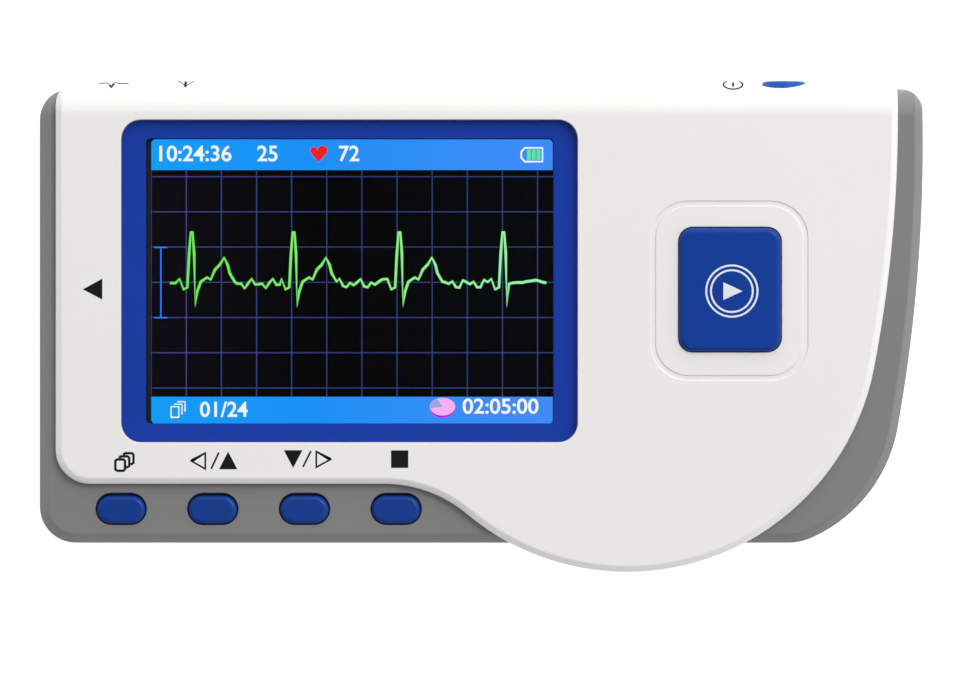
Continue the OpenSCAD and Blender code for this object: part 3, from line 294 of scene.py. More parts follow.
def spread(tree, value, low, high, start=0, end=1):
    # what runs from start to end becomes what runs from low to high
    return addNode(tree, "MapRange", {"Value": value, "From Min": start, "From Max": end,
                                      "To Min": low, "To Max": high}).outputs["Result"]


def ramp(tree, value, *stops, stepped=False):
    tone = addNode(tree, "ValToRGB", {"Fac": value})
    colours = tone.color_ramp
    if stepped:
        colours.interpolation = "CONSTANT"
    for edge, (spot, colour) in zip(colours.elements, (stops[0], stops[-1])):
        edge.position, edge.color = spot, (*colour, 1)
    for spot, colour in stops[1:-1]:
        colours.elements.new(spot).color = (*colour, 1)
    return tone.outputs["Color"]


def sums(tree, work, first, second):
    return addNode(tree, "Math", {0: first, 1: second}, operation=work).outputs[0]


def blendIn(tree, amount, under, over):
    # sockets 6 and 7 of this node are its two colours, and output 2 is the colour it gives
    return addNode(tree, "Mix", {"Factor": amount, 6: under, 7: over},
                   data_type="RGBA").outputs[2]


# finishes: scales are counts in a metre, depths are in millimetres

grainSizes = {"cloud": 75, "patch": 180, "fine": 3600, "fineDeep": 0.02, "streak": 1500, "streakDeep": 0.01}


def moulded(name, colour, shade, roughness, wear, grain, shine=0.5):
    # moulded plastic: a faint cloud in the colour, patchy gloss and a fine grain in the surface
    g = grainSizes
    material, tree = finish(name)
    place = objectPlace(tree)
    setShader(tree, {
        "Base Color": ramp(tree, noise(tree, place, g["cloud"], 4), (0.2, shade), (0.8, colour)),
        "Roughness": spread(tree, noise(tree, place, g["patch"]), roughness - wear, roughness + wear),
        "Normal": bumps(tree, noise(tree, place, g["fine"], 3), grain, g["fineDeep"]),
        "Specular IOR Level": shine})
    return material


def worked(name, colour, shade, roughness, stretch):
    # bright metal with a drawn grain along one direction
    g = grainSizes
    material, tree = finish(name)
    drawn = addNode(tree, "Mapping", {"Vector": objectPlace(tree), "Scale": stretch}).outputs["Vector"]
    streak = noise(tree, drawn, g["streak"], 3)
    setShader(tree, {
        "Metallic": 1, "Base Color": ramp(tree, streak, (0, shade), (1, colour)),
        "Roughness": spread(tree, streak, roughness * 0.8, roughness * 1.3),
        "Normal": bumps(tree, streak, 0.15, g["streakDeep"])})
    return material


whiteShell = moulded("white_shell", (0.865, 0.852, 0.83), (0.855, 0.842, 0.82), 0.3, 0.03, 0.05)
greyShell = moulded("grey_shell", (0.207, 0.207, 0.203), (0.198, 0.198, 0.195), 0.42, 0.05, 0.25)
blueKey = moulded("blue_key", (0.003, 0.043, 0.275), (0.002, 0.038, 0.25), 0.3, 0.04, 0.08, 0.25)
blueStartKey = moulded("blue_start_key", (0.002, 0.046, 0.32), (0.0013, 0.041, 0.295), 0.3, 0.04, 0.05, 0.2)
bluePowerKey = moulded("blue_power_key", (0.012, 0.095, 0.43), (0.01, 0.085, 0.4), 0.25, 0.04, 0.05, 0.25)
blueBorder = moulded("blue_border", (0.0105, 0.054, 0.44), (0.0095, 0.05, 0.42), 0.25, 0.03, 0.02, 0.15)
blackInk = moulded("black_ink", (0.006, 0.006, 0.007), (0.004, 0.004, 0.005), 0.45, 0.05, 0.1, 0.15)
paleInk = moulded("pale_ink", (0.80, 0.83, 0.90), (0.74, 0.78, 0.86), 0.45, 0.05, 0.1)
print("finishes mixed")


# outlines of the case and of the white cover

outlineSizes = {
    "left": -62.5, "top": 33.4, "bottom": -30.9, "lowLeft": 5.1, "highLeft": 4.4, "highRight": 3.2,
    "side": (-165, 25.5), "sideReach": 227.5, "grip": (38.2486, -11), "blend": (43.4822, -22.9),
    "coverLeft": -60.15, "coverTop": 35, "coverBottom": -22.55, "coverLowLeft": 4.85,
    "coverHighLeft": 4.0, "coverSide": (-128.75, 29.2), "coverSideReach": 187.6,
    "bulge": (20.6177, 0.5), "bulgeReach": 33.9, "hollow": (-13.779, -40.79),
    "coverHighRight": 1.5, "scoopEase": 2,
    "topSteps": ((34.6, 0.18), (13.4, 0.18), (11.2, 0.42), (-38.2, 0.42), (-40.6, 0)),
}


def caseOutline(name, height, grow=0):
    o = outlineSizes
    left, top, bottom = o["left"] - grow, o["top"] + grow, o["bottom"] - grow
    lowLeft = (o["left"] + o["lowLeft"], o["bottom"] + o["lowLeft"])
    highLeft = (o["left"] + o["highLeft"], o["top"] - o["highLeft"])
    turn = math.degrees(math.asin((o["bulge"][1] - bottom) / (o["bulgeReach"] + grow)))
    swell = (o["bulgeReach"] + grow) * math.cos(math.radians(turn))
    cornerY = o["top"] - o["highRight"]
    cornerX = o["side"][0] + math.sqrt((o["sideReach"] - o["highRight"]) ** 2
                                       - (cornerY - o["side"][1]) ** 2)
    gripFrom, gripTo = bearing(o["grip"], o["blend"]), bearing(o["side"], o["grip"])
    sideTo = bearing(o["side"], (cornerX, cornerY))
    strokes = [
        (lowLeft, 180, 270, 16),
        (o["bulge"][0] - swell, bottom),
        (o["bulge"], 180 + turn, 360 - turn, 14),
        (o["blend"][0], bottom),
        (o["blend"], 270, 360 + gripFrom, 6),
        (o["grip"], gripFrom, gripTo, 14),
        (o["side"], gripTo, sideTo, 12),
        ((cornerX, cornerY), sideTo, 90, 16),
        (highLeft[0], top),
        (highLeft, 90, 180, 16),
    ]
    return drawOutline(name, (left, lowLeft[1]), strokes, height)


def coverOutline(name, height):
    o = outlineSizes
    top, cut = o["coverTop"], coverSizes["scoop"]
    lowLeft = (o["coverLeft"] + o["coverLowLeft"], o["coverBottom"] + o["coverLowLeft"])
    highLeft = (o["coverLeft"] + o["coverHighLeft"], top - o["coverHighLeft"])
    turn = bearing(o["hollow"], o["bulge"])
    sideFrom = bearing(o["coverSide"], o["bulge"])
    # soft ends of the finger scoop, and the corner at the upper right
    soft, reach = o["scoopEase"], coverSizes["scoopReach"]
    spread = math.sqrt((reach + soft) ** 2 - (cut[1] - top + soft) ** 2)
    lean = math.degrees(math.asin(spread / (reach + soft)))
    corner = o["coverHighRight"]
    cornerX = o["coverSide"][0] + math.sqrt((o["coverSideReach"] - corner) ** 2
                                            - (top - corner - o["coverSide"][1]) ** 2)
    sideTo = bearing(o["coverSide"], (cornerX, top - corner))
    strokes = [
        (lowLeft, 180, 270, 16),
        (o["hollow"][0], o["coverBottom"]),
        (o["hollow"], 90, turn, 12),
        (o["bulge"], 180 + turn, 360 + sideFrom, 40),
        (o["coverSide"], sideFrom, sideTo, 14),
        ((cornerX, top - corner), sideTo, 90, 10),
        (cut[0] + spread, top),
        ((cut[0] + spread, top - soft), 90, 90 + lean, 8),
        (cut, lean - 90, -90 - lean, 24),
        ((cut[0] - spread, top - soft), 90 - lean, 90, 8),
    ]
    # the top side steps down a little between the sockets and the scoop
    strokes += [(x, top - drop) for x, drop in o["topSteps"]]
    strokes += [(highLeft[0], top), (highLeft, 90, 180, 14)]
    return drawOutline(name, (o["coverLeft"], lowLeft[1]), strokes, height)


def rollTool(name, top, radius, face, left=-70, right=70, rim=0, lift=0):
    # what rounds the front face over into the top side, with its ends cut at a slant as well
    y, z = top - radius, face - radius
    tin = rod("rollTin", ((left + right) / 2, y, z), radius, right - left, "X", 128)
    if rim:
        easeEdges(tin, lambda a, b, fold: fold > 60, rim, 1)
        widen = (radius - rim + lift) / (radius - rim)
        with editing(tin):
            pickEdges(tin, lambda a, b, fold: min(abs(a.x - left), abs(a.x - right)) < 0.01
                      and abs(a.x - b.x) < 0.01)
            bpy.ops.transform.resize(value=(1, widen, widen), center_override=inMetres((0, y, z)))
    return carve(block(name, (-80, y, z), (80, top + 3, face + 3)), tin)


def slantRim(piece, level, rim, lift=0):
    # a slanting rim round the front face, its two edges softened
    easeRim(piece, level, rim, 1, 60)
    with editing(piece):
        pickEdges(piece, lambda a, b, fold: atLevel(a, b, level - rim))
        bpy.ops.transform.translate(value=inMetres((0, 0, lift)))
    for edge in (level, level - rim + lift):
        easeEdges(piece, lambda a, b, fold: 15 < fold < 75 and atLevel(a, b, edge), 0.16, 2)


# white cover

coverSizes = {
    "face": 19.2, "lowEdge": 1.9, "roll": 5.65, "rim": 0.85, "lift": 0.3, "thickness": 1.5, "gap": 0.1,
    "rollRight": 58.87,
    # rounded plans: centre, width, height and corner
    "window": ((-18.65, 6.12), 64.5, 45.57, 2.75), "start": ((35.1, 4.9), 14.6, 17.7, 2.05),
    "ring": ((35.02, 4.76), 22.2, 25.3, 5.3), "groove": 0.65, "grooveDeep": 0.17,
    "scoop": (42.3, 43.8), "scoopReach": 10.4, "power": (42.9, 12.2), "powerHole": 6.4,
    "lead": (-52.2, 8.6), "leadHole": 5.4, "data": (-41.75, 9.15), "dataWide": 7.9, "dataHigh": 4.1,
    "padLeft": 35.56, "padRight": 49.04, "padTop": 16.67, "padFace": 32.3, "ease": 0.14,
}


def openTopSide(piece):
    # round holes for the power key and the lead jack, and the mouth of the data socket
    c = coverSizes
    for (x, z), wide in ((c["power"], c["powerHole"]), (c["lead"], c["leadHole"])):
        carve(piece, rod("holeTool", (x, 34, z), wide / 2, 8, "Y", 64))
    (x, z), wide, high = c["data"], c["dataWide"] / 2, c["dataHigh"] / 2
    carve(piece, block("dataTool", (x - wide, 30, z - high), (x + wide, 38, z + high)))


def makeCover():
    c = coverSizes
    under = c["face"] - c["thickness"]
    cover = pull(coverOutline("white_cover", -5), c["face"] + 5)
    slantRim(cover, c["face"], c["rim"], c["lift"])
    carve(cover, rollTool("coverRoll", outlineSizes["coverTop"], c["roll"], c["face"],
                          outlineSizes["coverLeft"] - 0.02, c["rollRight"], c["rim"], c["lift"]))
    # room for the grey shell, with the pad behind the finger scoop left standing
    room = pull(caseOutline("room", -8, c["gap"]), under + 8)
    carve(room, rollTool("roomRoll", outlineSizes["top"] + c["gap"], c["roll"] - c["thickness"], under))
    carve(room, block("pad", (c["padLeft"], c["padFace"], -9), (c["padRight"], 36, c["padTop"])))
    carve(cover, room)
    carve(cover, block("below", (-80, -60, -10), (80, 60, c["lowEdge"])))
    for plan in (c["window"], c["start"]):
        carve(cover, roundSlab("openingTool", *plan, under - 2, c["face"] + 2))
    centre, wide, high, corner = c["ring"]
    ring = roundSlab("ringTool", *c["ring"], c["face"] - c["grooveDeep"], c["face"] + 2, 14)
    carve(ring, roundSlab("ringCore", centre, wide - 2 * c["groove"], high - 2 * c["groove"],
                          corner - c["groove"], c["face"] - 3, c["face"] + 4, 14))
    carve(cover, ring)
    openTopSide(cover)
    return cover


def nearRim(a, b, level, centre, wide, high, *corner):
    # both ends lie at that height, inside a frame round the centre
    return atLevel(a, b, level) and all(abs(p.x - centre[0]) < wide / 2 + 0.05
                                        and abs(p.y - centre[1]) < high / 2 + 0.05 for p in (a, b))


def fitCover():
    c = coverSizes
    cover = makeCover()
    easeEdges(cover, lambda a, b, fold: fold > 60 and (
        nearRim(a, b, c["face"], *c["ring"]) or nearRim(a, b, c["face"], *c["window"])), c["ease"], 3)
    fit(cover, "case", whiteShell, "white_shell", "fascia", smooth=30)


fitCover()
print("white cover shaped")


# grey front shell

shellSizes = {
    "face": 17.7, "seam": 6, "rim": 1.2, "wall": 2, "front": 1.6, "roll": 4.05,
    "view": (-18.6, 6.15), "viewWide": 57.6, "viewHigh": 40.3,
    "pillX": (-50.95, -37.99, -25.03, -12.07), "pillY": -26.1, "pillWide": 7.2, "pillHigh": 4.5,
    "pillEase": 0.15, "seamEase": 0.12,
}


def makeShell():
    s = shellSizes
    c = coverSizes
    shell = pull(caseOutline("grey_front_shell", 0), s["face"])
    slantRim(shell, s["face"], s["rim"])
    carve(shell, rollTool("shellRoll", outlineSizes["top"], s["roll"], s["face"],
                          outlineSizes["left"] - 0.02, -outlineSizes["left"] + 0.02, s["rim"]))
    carve(shell, block("belowSeam", (-80, -60, -5), (80, 60, s["seam"])))
    carve(shell, pull(caseOutline("inside", 0, -s["wall"]), s["face"] - s["front"]))
    carve(shell, roundSlab("viewTool", s["view"], s["viewWide"] + 1, s["viewHigh"] + 1, 0.5,
                           12, 20, 4))
    carve(shell, roundSlab("startTool", *c["start"], 12, 20))
    for x in s["pillX"]:
        carve(shell, roundSlab("pillTool", (x, s["pillY"]), s["pillWide"], s["pillHigh"],
                               s["pillHigh"] / 2 - 0.01, 12, 20, 14))
    gap = c["gap"]
    carve(shell, block("padTool", (c["padLeft"] - gap, c["padFace"] - gap, 0),
                       (c["padRight"] + gap, 36, c["padTop"] + gap)))
    openTopSide(shell)
    return shell


def fitHalf(piece, node):
    easeRim(piece, shellSizes["seam"], shellSizes["seamEase"], 2, 60)
    fit(piece, "case", greyShell, "grey_shell", node, smooth=30)


def fitShell():
    s = shellSizes
    shell = makeShell()
    for x in s["pillX"]:
        easeEdges(shell, lambda a, b, fold: fold > 60 and nearRim(
            a, b, s["face"], (x, s["pillY"]), s["pillWide"], s["pillHigh"]), s["pillEase"], 3)
    fitHalf(shell, "front_shell")


fitShell()
print("grey shell shaped")


# rear cover

rearSizes = {
    "rim": 1.7, "floor": 2.4, "wall": 2, "bay": (35.1, 0), "bayWide": 21.35, "bayLong": 49.4,
    "bayWall": 1, "bayTop": 13.2, "bayRoof": 12.4,
    "door": 24.15, "doorTop": 26.5, "doorThick": 1.6, "rail": 1, "railThick": 0.8, "gap": 0.15,
    "screws": ((-57.6, 27), (-57.6, -20.5), (19.3, 26.4), (19.3, -28), (54.9, 23.5), (51.5, -17)),
    "screwHead": 3.8, "screwSeat": 2.4, "bossWide": 5, "bossLow": 1.4, "bossTop": 6, "thread": 1.04,
    "sound": (-16.5, -19.9), "soundReach": 3, "soundHole": 1.4,
    "plate": ((-36.5, 0), 28.2, 14.2, 3.6), "plateDeep": 0.65,
}


def makeRear():
    r = rearSizes
    rear = pull(caseOutline("grey_rear_cover", 0), shellSizes["seam"])
    easeRim(rear, 0, r["rim"], 6, 45)
    carve(rear, pull(caseOutline("inside", r["floor"], -r["wall"]), 8))
    x, y = r["bay"]
    half = (r["bayWide"] / 2, r["bayLong"] / 2)
    weld(rear, block("bayWalls", (x - half[0] - r["bayWall"], y - half[1] - r["bayWall"], 1.2),
                     (x + half[0] + r["bayWall"], y + half[1] + r["bayWall"], r["bayTop"])))
    for place in r["screws"]:
        weld(rear, rod("boss", (*place, (r["bossLow"] + r["bossTop"]) / 2), r["bossWide"] / 2,
                       r["bossTop"] - r["bossLow"], "Z", 32))
    carve(rear, block("bayRoom", (x - half[0], y - half[1], -2), (x + half[0], y + half[1], r["bayRoof"])))
    reach = r["door"] / 2 + r["gap"]
    for name, wide, low in (("doorRoom", reach, -2),
                            ("railRoom", reach + r["rail"], r["doorThick"] - r["railThick"] - r["gap"])):
        carve(rear, block(name, (x - wide, -40, low),
                          (x + wide, r["doorTop"] + r["gap"], r["doorThick"] + r["gap"])))
    for place in r["screws"]:
        carve(rear, rod("headRoom", (*place, 0), r["screwHead"] / 2, 2 * r["screwSeat"], "Z", 40))
        carve(rear, rod("threadRoom", (*place, 4), r["thread"], 8, "Z", 24))
    # one sound hole in the middle and six round it
    holes = [r["sound"]] + [pointAround(r["sound"], r["soundReach"], 60 * turn) for turn in range(6)]
    for place in holes:
        carve(rear, rod("soundHole", (*place, 1), r["soundHole"] / 2, 6, "Z", 24))
    carve(rear, roundSlab("plateTool", *r["plate"], -2, r["plateDeep"], 10))
    fitHalf(rear, "rear_cover")


makeRear()
print("rear cover shaped")


# flat patches, thin lines and digits

def drawLine(name, points, width, level, closed=False):
    # a chain of edges becomes a thin round line, a point may bring its own height
    points = [(*p, level)[:3] for p in points]
    line = firstPoint(name, points[0])
    for before, after in zip(points, points[1:]):
        drawOn([b - a for a, b in zip(before, after)])
    if closed:
        bpy.ops.mesh.select_all(action="SELECT")
        bpy.ops.mesh.remove_doubles(threshold=0.02 * mm)
    bpy.ops.object.mode_set(mode="OBJECT")
    bpy.ops.object.convert(target="CURVE")
    line.data.bevel_depth = width / 2 * mm
    line.data.bevel_resolution = 1
    line.data.use_fill_caps = True
    bpy.ops.object.convert(target="MESH")
    return named(name)


def drawPatch(name, start, strokes, level, thick=0.03):
    return pull(drawOutline(name, start, strokes, level), thick)


def digits(name, words, place, level, size, stretch=1.0):
    letGo()
    bpy.ops.object.text_add(location=inMetres((*place, level)))
    text = bpy.context.object
    text.data.body = words
    text.data.size = size * mm
    text.data.extrude = 0.012 * mm
    text.data.offset = 0.045 * mm
    text.scale = (stretch, 1, 1)
    bpy.ops.object.convert(target="MESH")
    return settled(name)


def together(name, pieces):
    letGo()
    for piece in pieces:
        piece.select_set(True)
    bpy.context.view_layer.objects.active = pieces[0]
    bpy.ops.object.join()
    return named(name)


def circlePoints(centre, radius, turnFrom, turnTo, steps, flat=1.0):
    turns = [turnFrom + (turnTo - turnFrom) * i / steps for i in range(steps + 1)]
    ring = [pointAround((0, 0), radius, turn) for turn in turns]
    return [(centre[0] + x, centre[1] + flat * y) for x, y in ring]



# keys

keySizes = {
    "start": ((35.1, 4.9), 14.34, 17.44, 1.95), "startTop": 20.0, "startFoot": 15.0, "startFootReach": 1.5,
    "flange": 0.6, "flangeLow": 15.28, "flangeTop": 15.98, "flangeCut": -28.75, "ease": 0.7,
    "pillY": -26.19, "pillWide": 6.9, "pillHigh": 4.02, "pillCorner": 2.0, "pillTop": 18.2,
    "pillFoot": 14.4, "pillFootReach": 1.2, "pillNames": ("pages", "left_up", "right_down", "stop"),
    "power": (42.9, 12.2), "powerWide": 6.2, "powerFace": 34.5, "powerFlange": 7.4, "powerEase": 0.35,
    "powerBack": 30.58, "powerFlangeTop": 31.28, "powerFoot": 30.28, "powerStem": 0.9,
}


def capKey(name, centre, wide, high, corner, top, foot, footReach, segments):
    # a cap standing on a wider flange, with a round foot below
    k = keySizes
    key = roundSlab(name, centre, wide, high, corner, k["flangeLow"], top, segments)
    flange = roundSlab("flange", centre, wide + 2 * k["flange"], high + 2 * k["flange"],
                       corner + k["flange"], k["flangeLow"], k["flangeTop"], segments)
    if centre[1] < 0:  # the pill keys' flanges end at the case's wall
        carve(flange, block("trim", (centre[0] - 9, centre[1] - 9, 10),
                            (centre[0] + 9, k["flangeCut"], 20)))
    weld(key, flange)
    return weld(key, rod("foot", (*centre, (foot + k["flangeTop"]) / 2), footReach,
                         k["flangeTop"] - foot, "Z", 32))


def startKey():
    k = keySizes
    key = capKey("start_key_cap", *k["start"], k["startTop"], k["startFoot"], k["startFootReach"], 10)
    easeRim(key, k["startTop"], k["ease"], 6)
    fit(key, "start_key", blueStartKey, "blue_key", "start_key")


def pillKeys():
    k = keySizes
    for name, x in zip(k["pillNames"], shellSizes["pillX"]):
        key = capKey(name + "_key_cap", (x, k["pillY"]), k["pillWide"], k["pillHigh"], k["pillCorner"],
                     k["pillTop"], k["pillFoot"], k["pillFootReach"], 16)
        easeRim(key, k["pillTop"], k["ease"], 7)
        fit(key, name + "_key", blueKey, "blue_key", name + "_key")


def powerKey():
    k = keySizes
    x, z = k["power"]

    def disc(name, back, front, reach, sides=96):
        return rod(name, (x, (back + front) / 2, z), reach, front - back, "Y", sides)

    key = disc("power_key_cap", k["powerBack"], k["powerFace"], k["powerWide"] / 2)
    weld(key, disc("flange", k["powerBack"], k["powerFlangeTop"], k["powerFlange"] / 2))
    weld(key, disc("stem", k["powerFoot"], k["powerFlangeTop"], k["powerStem"], 32))
    easeEdges(key, lambda a, b, fold: min(a.y, b.y) > k["powerFace"] - 0.02, k["powerEase"], 5)
    fit(key, "power_key", bluePowerKey, "blue_power_key", "power_key")


startKey()
pillKeys()
powerKey()


# what the keys press: rubber domes on a thin sheet, and a steel snap dome under the start key

domeSizes = {
    "low": 12.7, "top": 14.3, "base": 2.3, "tip": 1.6, "ease": 0.25, "keep": 0.66,
    "sheet": ((-31.51, -25.795), 44.68, 5.19, 0.8), "sheetTop": 13.2,
    "snap": (35.1, 5.1), "snapLow": 14.0, "snapTop": 14.9, "snapWide": 8.38, "snapKeep": 0.42,
}


def flatten(piece):
    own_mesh(piece)


def rubberDomes():
    d = domeSizes
    rubber = moulded("silicone", (0.42, 0.44, 0.46), (0.36, 0.38, 0.4), 0.6, 0.05, 0.2)
    sheet = roundSlab("keypad_sheet", *d["sheet"], d["low"], d["sheetTop"])
    fit(sheet, "case", rubber, "silicone", "keypad_mat", smooth=30)
    y, middle = shellSizes["pillY"], (d["top"] + d["low"]) / 2
    for key, x in zip(keySizes["pillNames"], shellSizes["pillX"]):
        letGo()
        bpy.ops.mesh.primitive_cone_add(vertices=48, radius1=d["base"] * mm, radius2=d["tip"] * mm,
                                        depth=(d["top"] - d["low"]) * mm, location=inMetres((x, y, middle)))
        dome = settled(key + "_dome")
        easeRim(dome, d["top"], d["ease"], 4)
        fit(dome, "case", rubber, "silicone")
        flatten(dome)


def snapDome():
    d = domeSizes
    x, y = d["snap"]
    rise, half = d["snapTop"] - d["snapLow"], d["snapWide"] / 2
    reach = (half * half + rise * rise) / (2 * rise)
    letGo()
    bpy.ops.mesh.primitive_uv_sphere_add(segments=64, ring_count=96, radius=reach * mm,
                                         location=inMetres((x, y, d["snapTop"] - reach)))
    dome = settled("start_snap_dome")
    carve(dome, block("trim", (x - 12, y - 12, -20), (x + 12, y + 12, d["snapLow"])))
    fit(dome, "case", worked("snap_steel", (0.6, 0.6, 0.58), (0.46, 0.46, 0.45), 0.32, (6, 1, 1)),
        "tin", "start_dome")
    flatten(dome)


rubberDomes()
snapDome()
print("keys shaped")


# window: clear pane over a printed blue border

windowSizes = {
    "plan": ((-18.65, 6.12), 64.3, 45.37, 2.65), "viewCorner": 0.6,
    "borderLow": 17.7, "borderTop": 17.85, "paneLow": 17.87, "paneTop": 19.05, "ease": 0.12,
    "smear": 60, "gloss": (0.03, 0.09), "alpha": 0.04,
}


def clearPane(name):
    # thin clear plastic that keeps what lies behind it in its own colours
    w = windowSizes
    material, tree = finish(name)
    setShader(tree, {"Base Color": (0, 0, 0, 1), "Alpha": w["alpha"],
                     "Roughness": spread(tree, noise(tree, objectPlace(tree), w["smear"]), *w["gloss"])})
    return material


def makeWindow():
    w, s = windowSizes, shellSizes
    border = roundSlab("window_border", *w["plan"], w["borderLow"], w["borderTop"], 10)
    carve(border, roundSlab("viewTool", s["view"], s["viewWide"], s["viewHigh"], w["viewCorner"],
                            15, 20, 6))
    fit(border, "case", blueBorder, "blue_border", "window_mask", smooth=30)
    pane = roundSlab("window_pane", *w["plan"], w["paneLow"], w["paneTop"], 10)
    easeRim(pane, w["paneTop"], w["ease"], 3)
    fit(pane, "case", clearPane("clear_window"), "clear_window", "window_lens", smooth=30)


makeWindow()
print("window fitted")


# lit display: a dark picture with two blue bars, a dotted grid and a heart trace

displaySizes = {
    "low": (-46.75, -14.1), "high": (10.1, 26.2), "corner": 0.65, "level": 15.32, "thick": 0.03,
    "barHigh": 4.35, "barLow": 3.85,
    "gridX": -41.8, "gridY": 0.97, "pitchX": 4.975, "pitchY": 4.99,
    "line": 0.16, "dot": 0.34, "dotGap": 0.15,
    "base": 5.85, "trace": 0.38, "peaks": (-41.04, -26.61, -11.62, 3.09), "traceEnd": 9.4,
    # one beat: steps along and heights, from the peak on
    "beat": ((-0.35, 4.2), (-0.12, 7.2), (0.14, 7.2), (0.36, 4.2), (0.5, -3.3), (0.8, -1.2), (1.3, 0.2),
             (2.2, 0.8), (2.7, 0.5), (3.3, 1.9), (4.0, 2.6), (4.6, 3.6), (5.1, 2.6),
             (5.4, 1.4), (6.1, 0.2)),
    "before": ((-1.7, 0.6), (-1.15, -0.9), (-0.6, -0.6)), "restFrom": 6.5, "restStep": 0.5, "restCount": 13,
    "gauge": (((-45.4, 10.9), (-45.4, 0.95)), ((-46.3, 10.9), (-44.5, 10.9)),
              ((-46.3, 0.95), (-44.5, 0.95))),
    "gaugeLine": 0.2,
    "digits": (("10:24:36", (-46.2, 23.15), 3.1, 1.02), ("25", (-31.8, 23.15), 3.1, 0.99),
               ("72", (-20.3, 23.15), 3.1, 0.99), ("02:05:00", (-2.7, -12.6), 3.0, 1.05),
               ("01/24", (-39.9, -13.05), 3.0, 1.0)),
    "batteryLine": 0.27,
    "battery": ((6.15, 23.05), (8.65, 23.05), (8.65, 25.0), (6.15, 25.0), (5.65, 24.45),
                (5.65, 23.6), (6.15, 23.05), (6.4, 23.05)),
    "cell": (6.72, 24.03), "cellStep": 0.68, "cellWide": 0.54, "cellHigh": 1.5,
    "sheets": ((0.24, ((-43.95, -13.15), (-42.85, -13.15), (-42.85, -11.65), (-43.95, -11.65),
                       (-43.95, -13.15), (-43.7, -13.15))),
               (0.2, ((-43.5, -11.3), (-42.4, -11.3), (-42.4, -12.75))),
               (0.2, ((-43.05, -10.95), (-41.98, -10.95), (-41.98, -12.35)))),
    "heart": (-23.1, 22.95), "disc": (-5.5, -11.65), "discReach": 1.8, "discFlat": 0.7,
    "rimCentre": (-5.5, -12.15), "rimReach": 1.75,
    "wedge": ((-7.25, -11.95), (-7.15, -11.0), (-6.7, -10.35), (-6.3, -10.1)),
}


def acrossDisplay(tree):
    # 0 at the display's left end and 1 at its right
    d = displaySizes
    return spread(tree, placeParts(tree)["X"], 0, 1, d["low"][0] * mm, d["high"][0] * mm)


def litMark(name, *tones):
    # the tones follow each other from the left of the display to its right
    material, tree = finish(name)
    stops = [(place / (len(tones) - 1), tone) for place, tone in enumerate(tones)]
    setShader(tree, {"Emission Color": ramp(tree, acrossDisplay(tree), *stops), "Emission Strength": 1,
                     "Base Color": (0.01, 0.01, 0.01, 1), "Roughness": 0.5, "Specular IOR Level": 0.1})
    return material


def litPicture(name):
    d = displaySizes
    material, tree = finish(name)
    parts, across = placeParts(tree), acrossDisplay(tree)
    x, y = parts["X"], parts["Y"]
    field = ramp(tree, across, (0, (0.0035, 0.003, 0.006)), (0.4, (0.001, 0.001, 0.0012)),
                 (1, (0.0015, 0.002, 0.0026)))
    bars = ramp(tree, across, (0, (0.006, 0.36, 1)), (0.4, (0.01, 0.30, 1)), (1, (0.055, 0.28, 1)))
    faint = ramp(tree, across, (0, (0.09, 0.115, 0.44)), (0.5, (0.06, 0.08, 0.36)), (1, (0.065, 0.1, 0.33)))

    def folded(value, pitch):
        return sums(tree, "PINGPONG", value, pitch / 2 * mm)

    def nearLine(value, start, pitch):
        shifted = sums(tree, "SUBTRACT", value, start * mm)
        return sums(tree, "LESS_THAN", folded(shifted, pitch), d["line"] / 2 * mm)

    def dotted(line, value):
        dots = sums(tree, "GREATER_THAN", folded(value, d["dot"]), d["dotGap"] / 2 * mm)
        return sums(tree, "MULTIPLY", line, dots)

    grid = sums(tree, "MAXIMUM", dotted(nearLine(x, d["gridX"], d["pitchX"]), y),
                dotted(nearLine(y, d["gridY"], d["pitchY"]), x))
    bar = sums(tree, "MAXIMUM", sums(tree, "GREATER_THAN", y, (d["high"][1] - d["barHigh"]) * mm),
               sums(tree, "LESS_THAN", y, (d["low"][1] + d["barLow"]) * mm))
    picture = blendIn(tree, bar, blendIn(tree, grid, field, faint), bars)
    setShader(tree, {"Emission Color": picture, "Emission Strength": 1, "Base Color": (0, 0, 0, 1),
                     "Roughness": 0.4, "Specular IOR Level": 0.02})
    return material


def heartTrace():
    d = displaySizes
    base = d["base"]
    points = [(-44.1, base), (-43.3, base)]
    for count, peak in enumerate(d["peaks"]):
        points += [(peak + along, base + rise) for along, rise in d["before"]]
        for along, rise in d["beat"]:
            low = 0.12 if count == 3 and along > 0.5 else 1  # the last beat is still being drawn
            points.append((peak + along, base + rise * low))
        for step in range(d["restCount"]):
            swing = 0.42 * math.sin(step * 2.1 + count * 1.7) + 0.36 * math.sin(step * 5.2 + count)
            points.append((peak + d["restFrom"] + step * d["restStep"], base - 0.1 + swing))
    points = [p for p in points if p[0] < d["traceEnd"]]
    return drawLine("display_trace", points, d["trace"], d["level"] + 0.12)


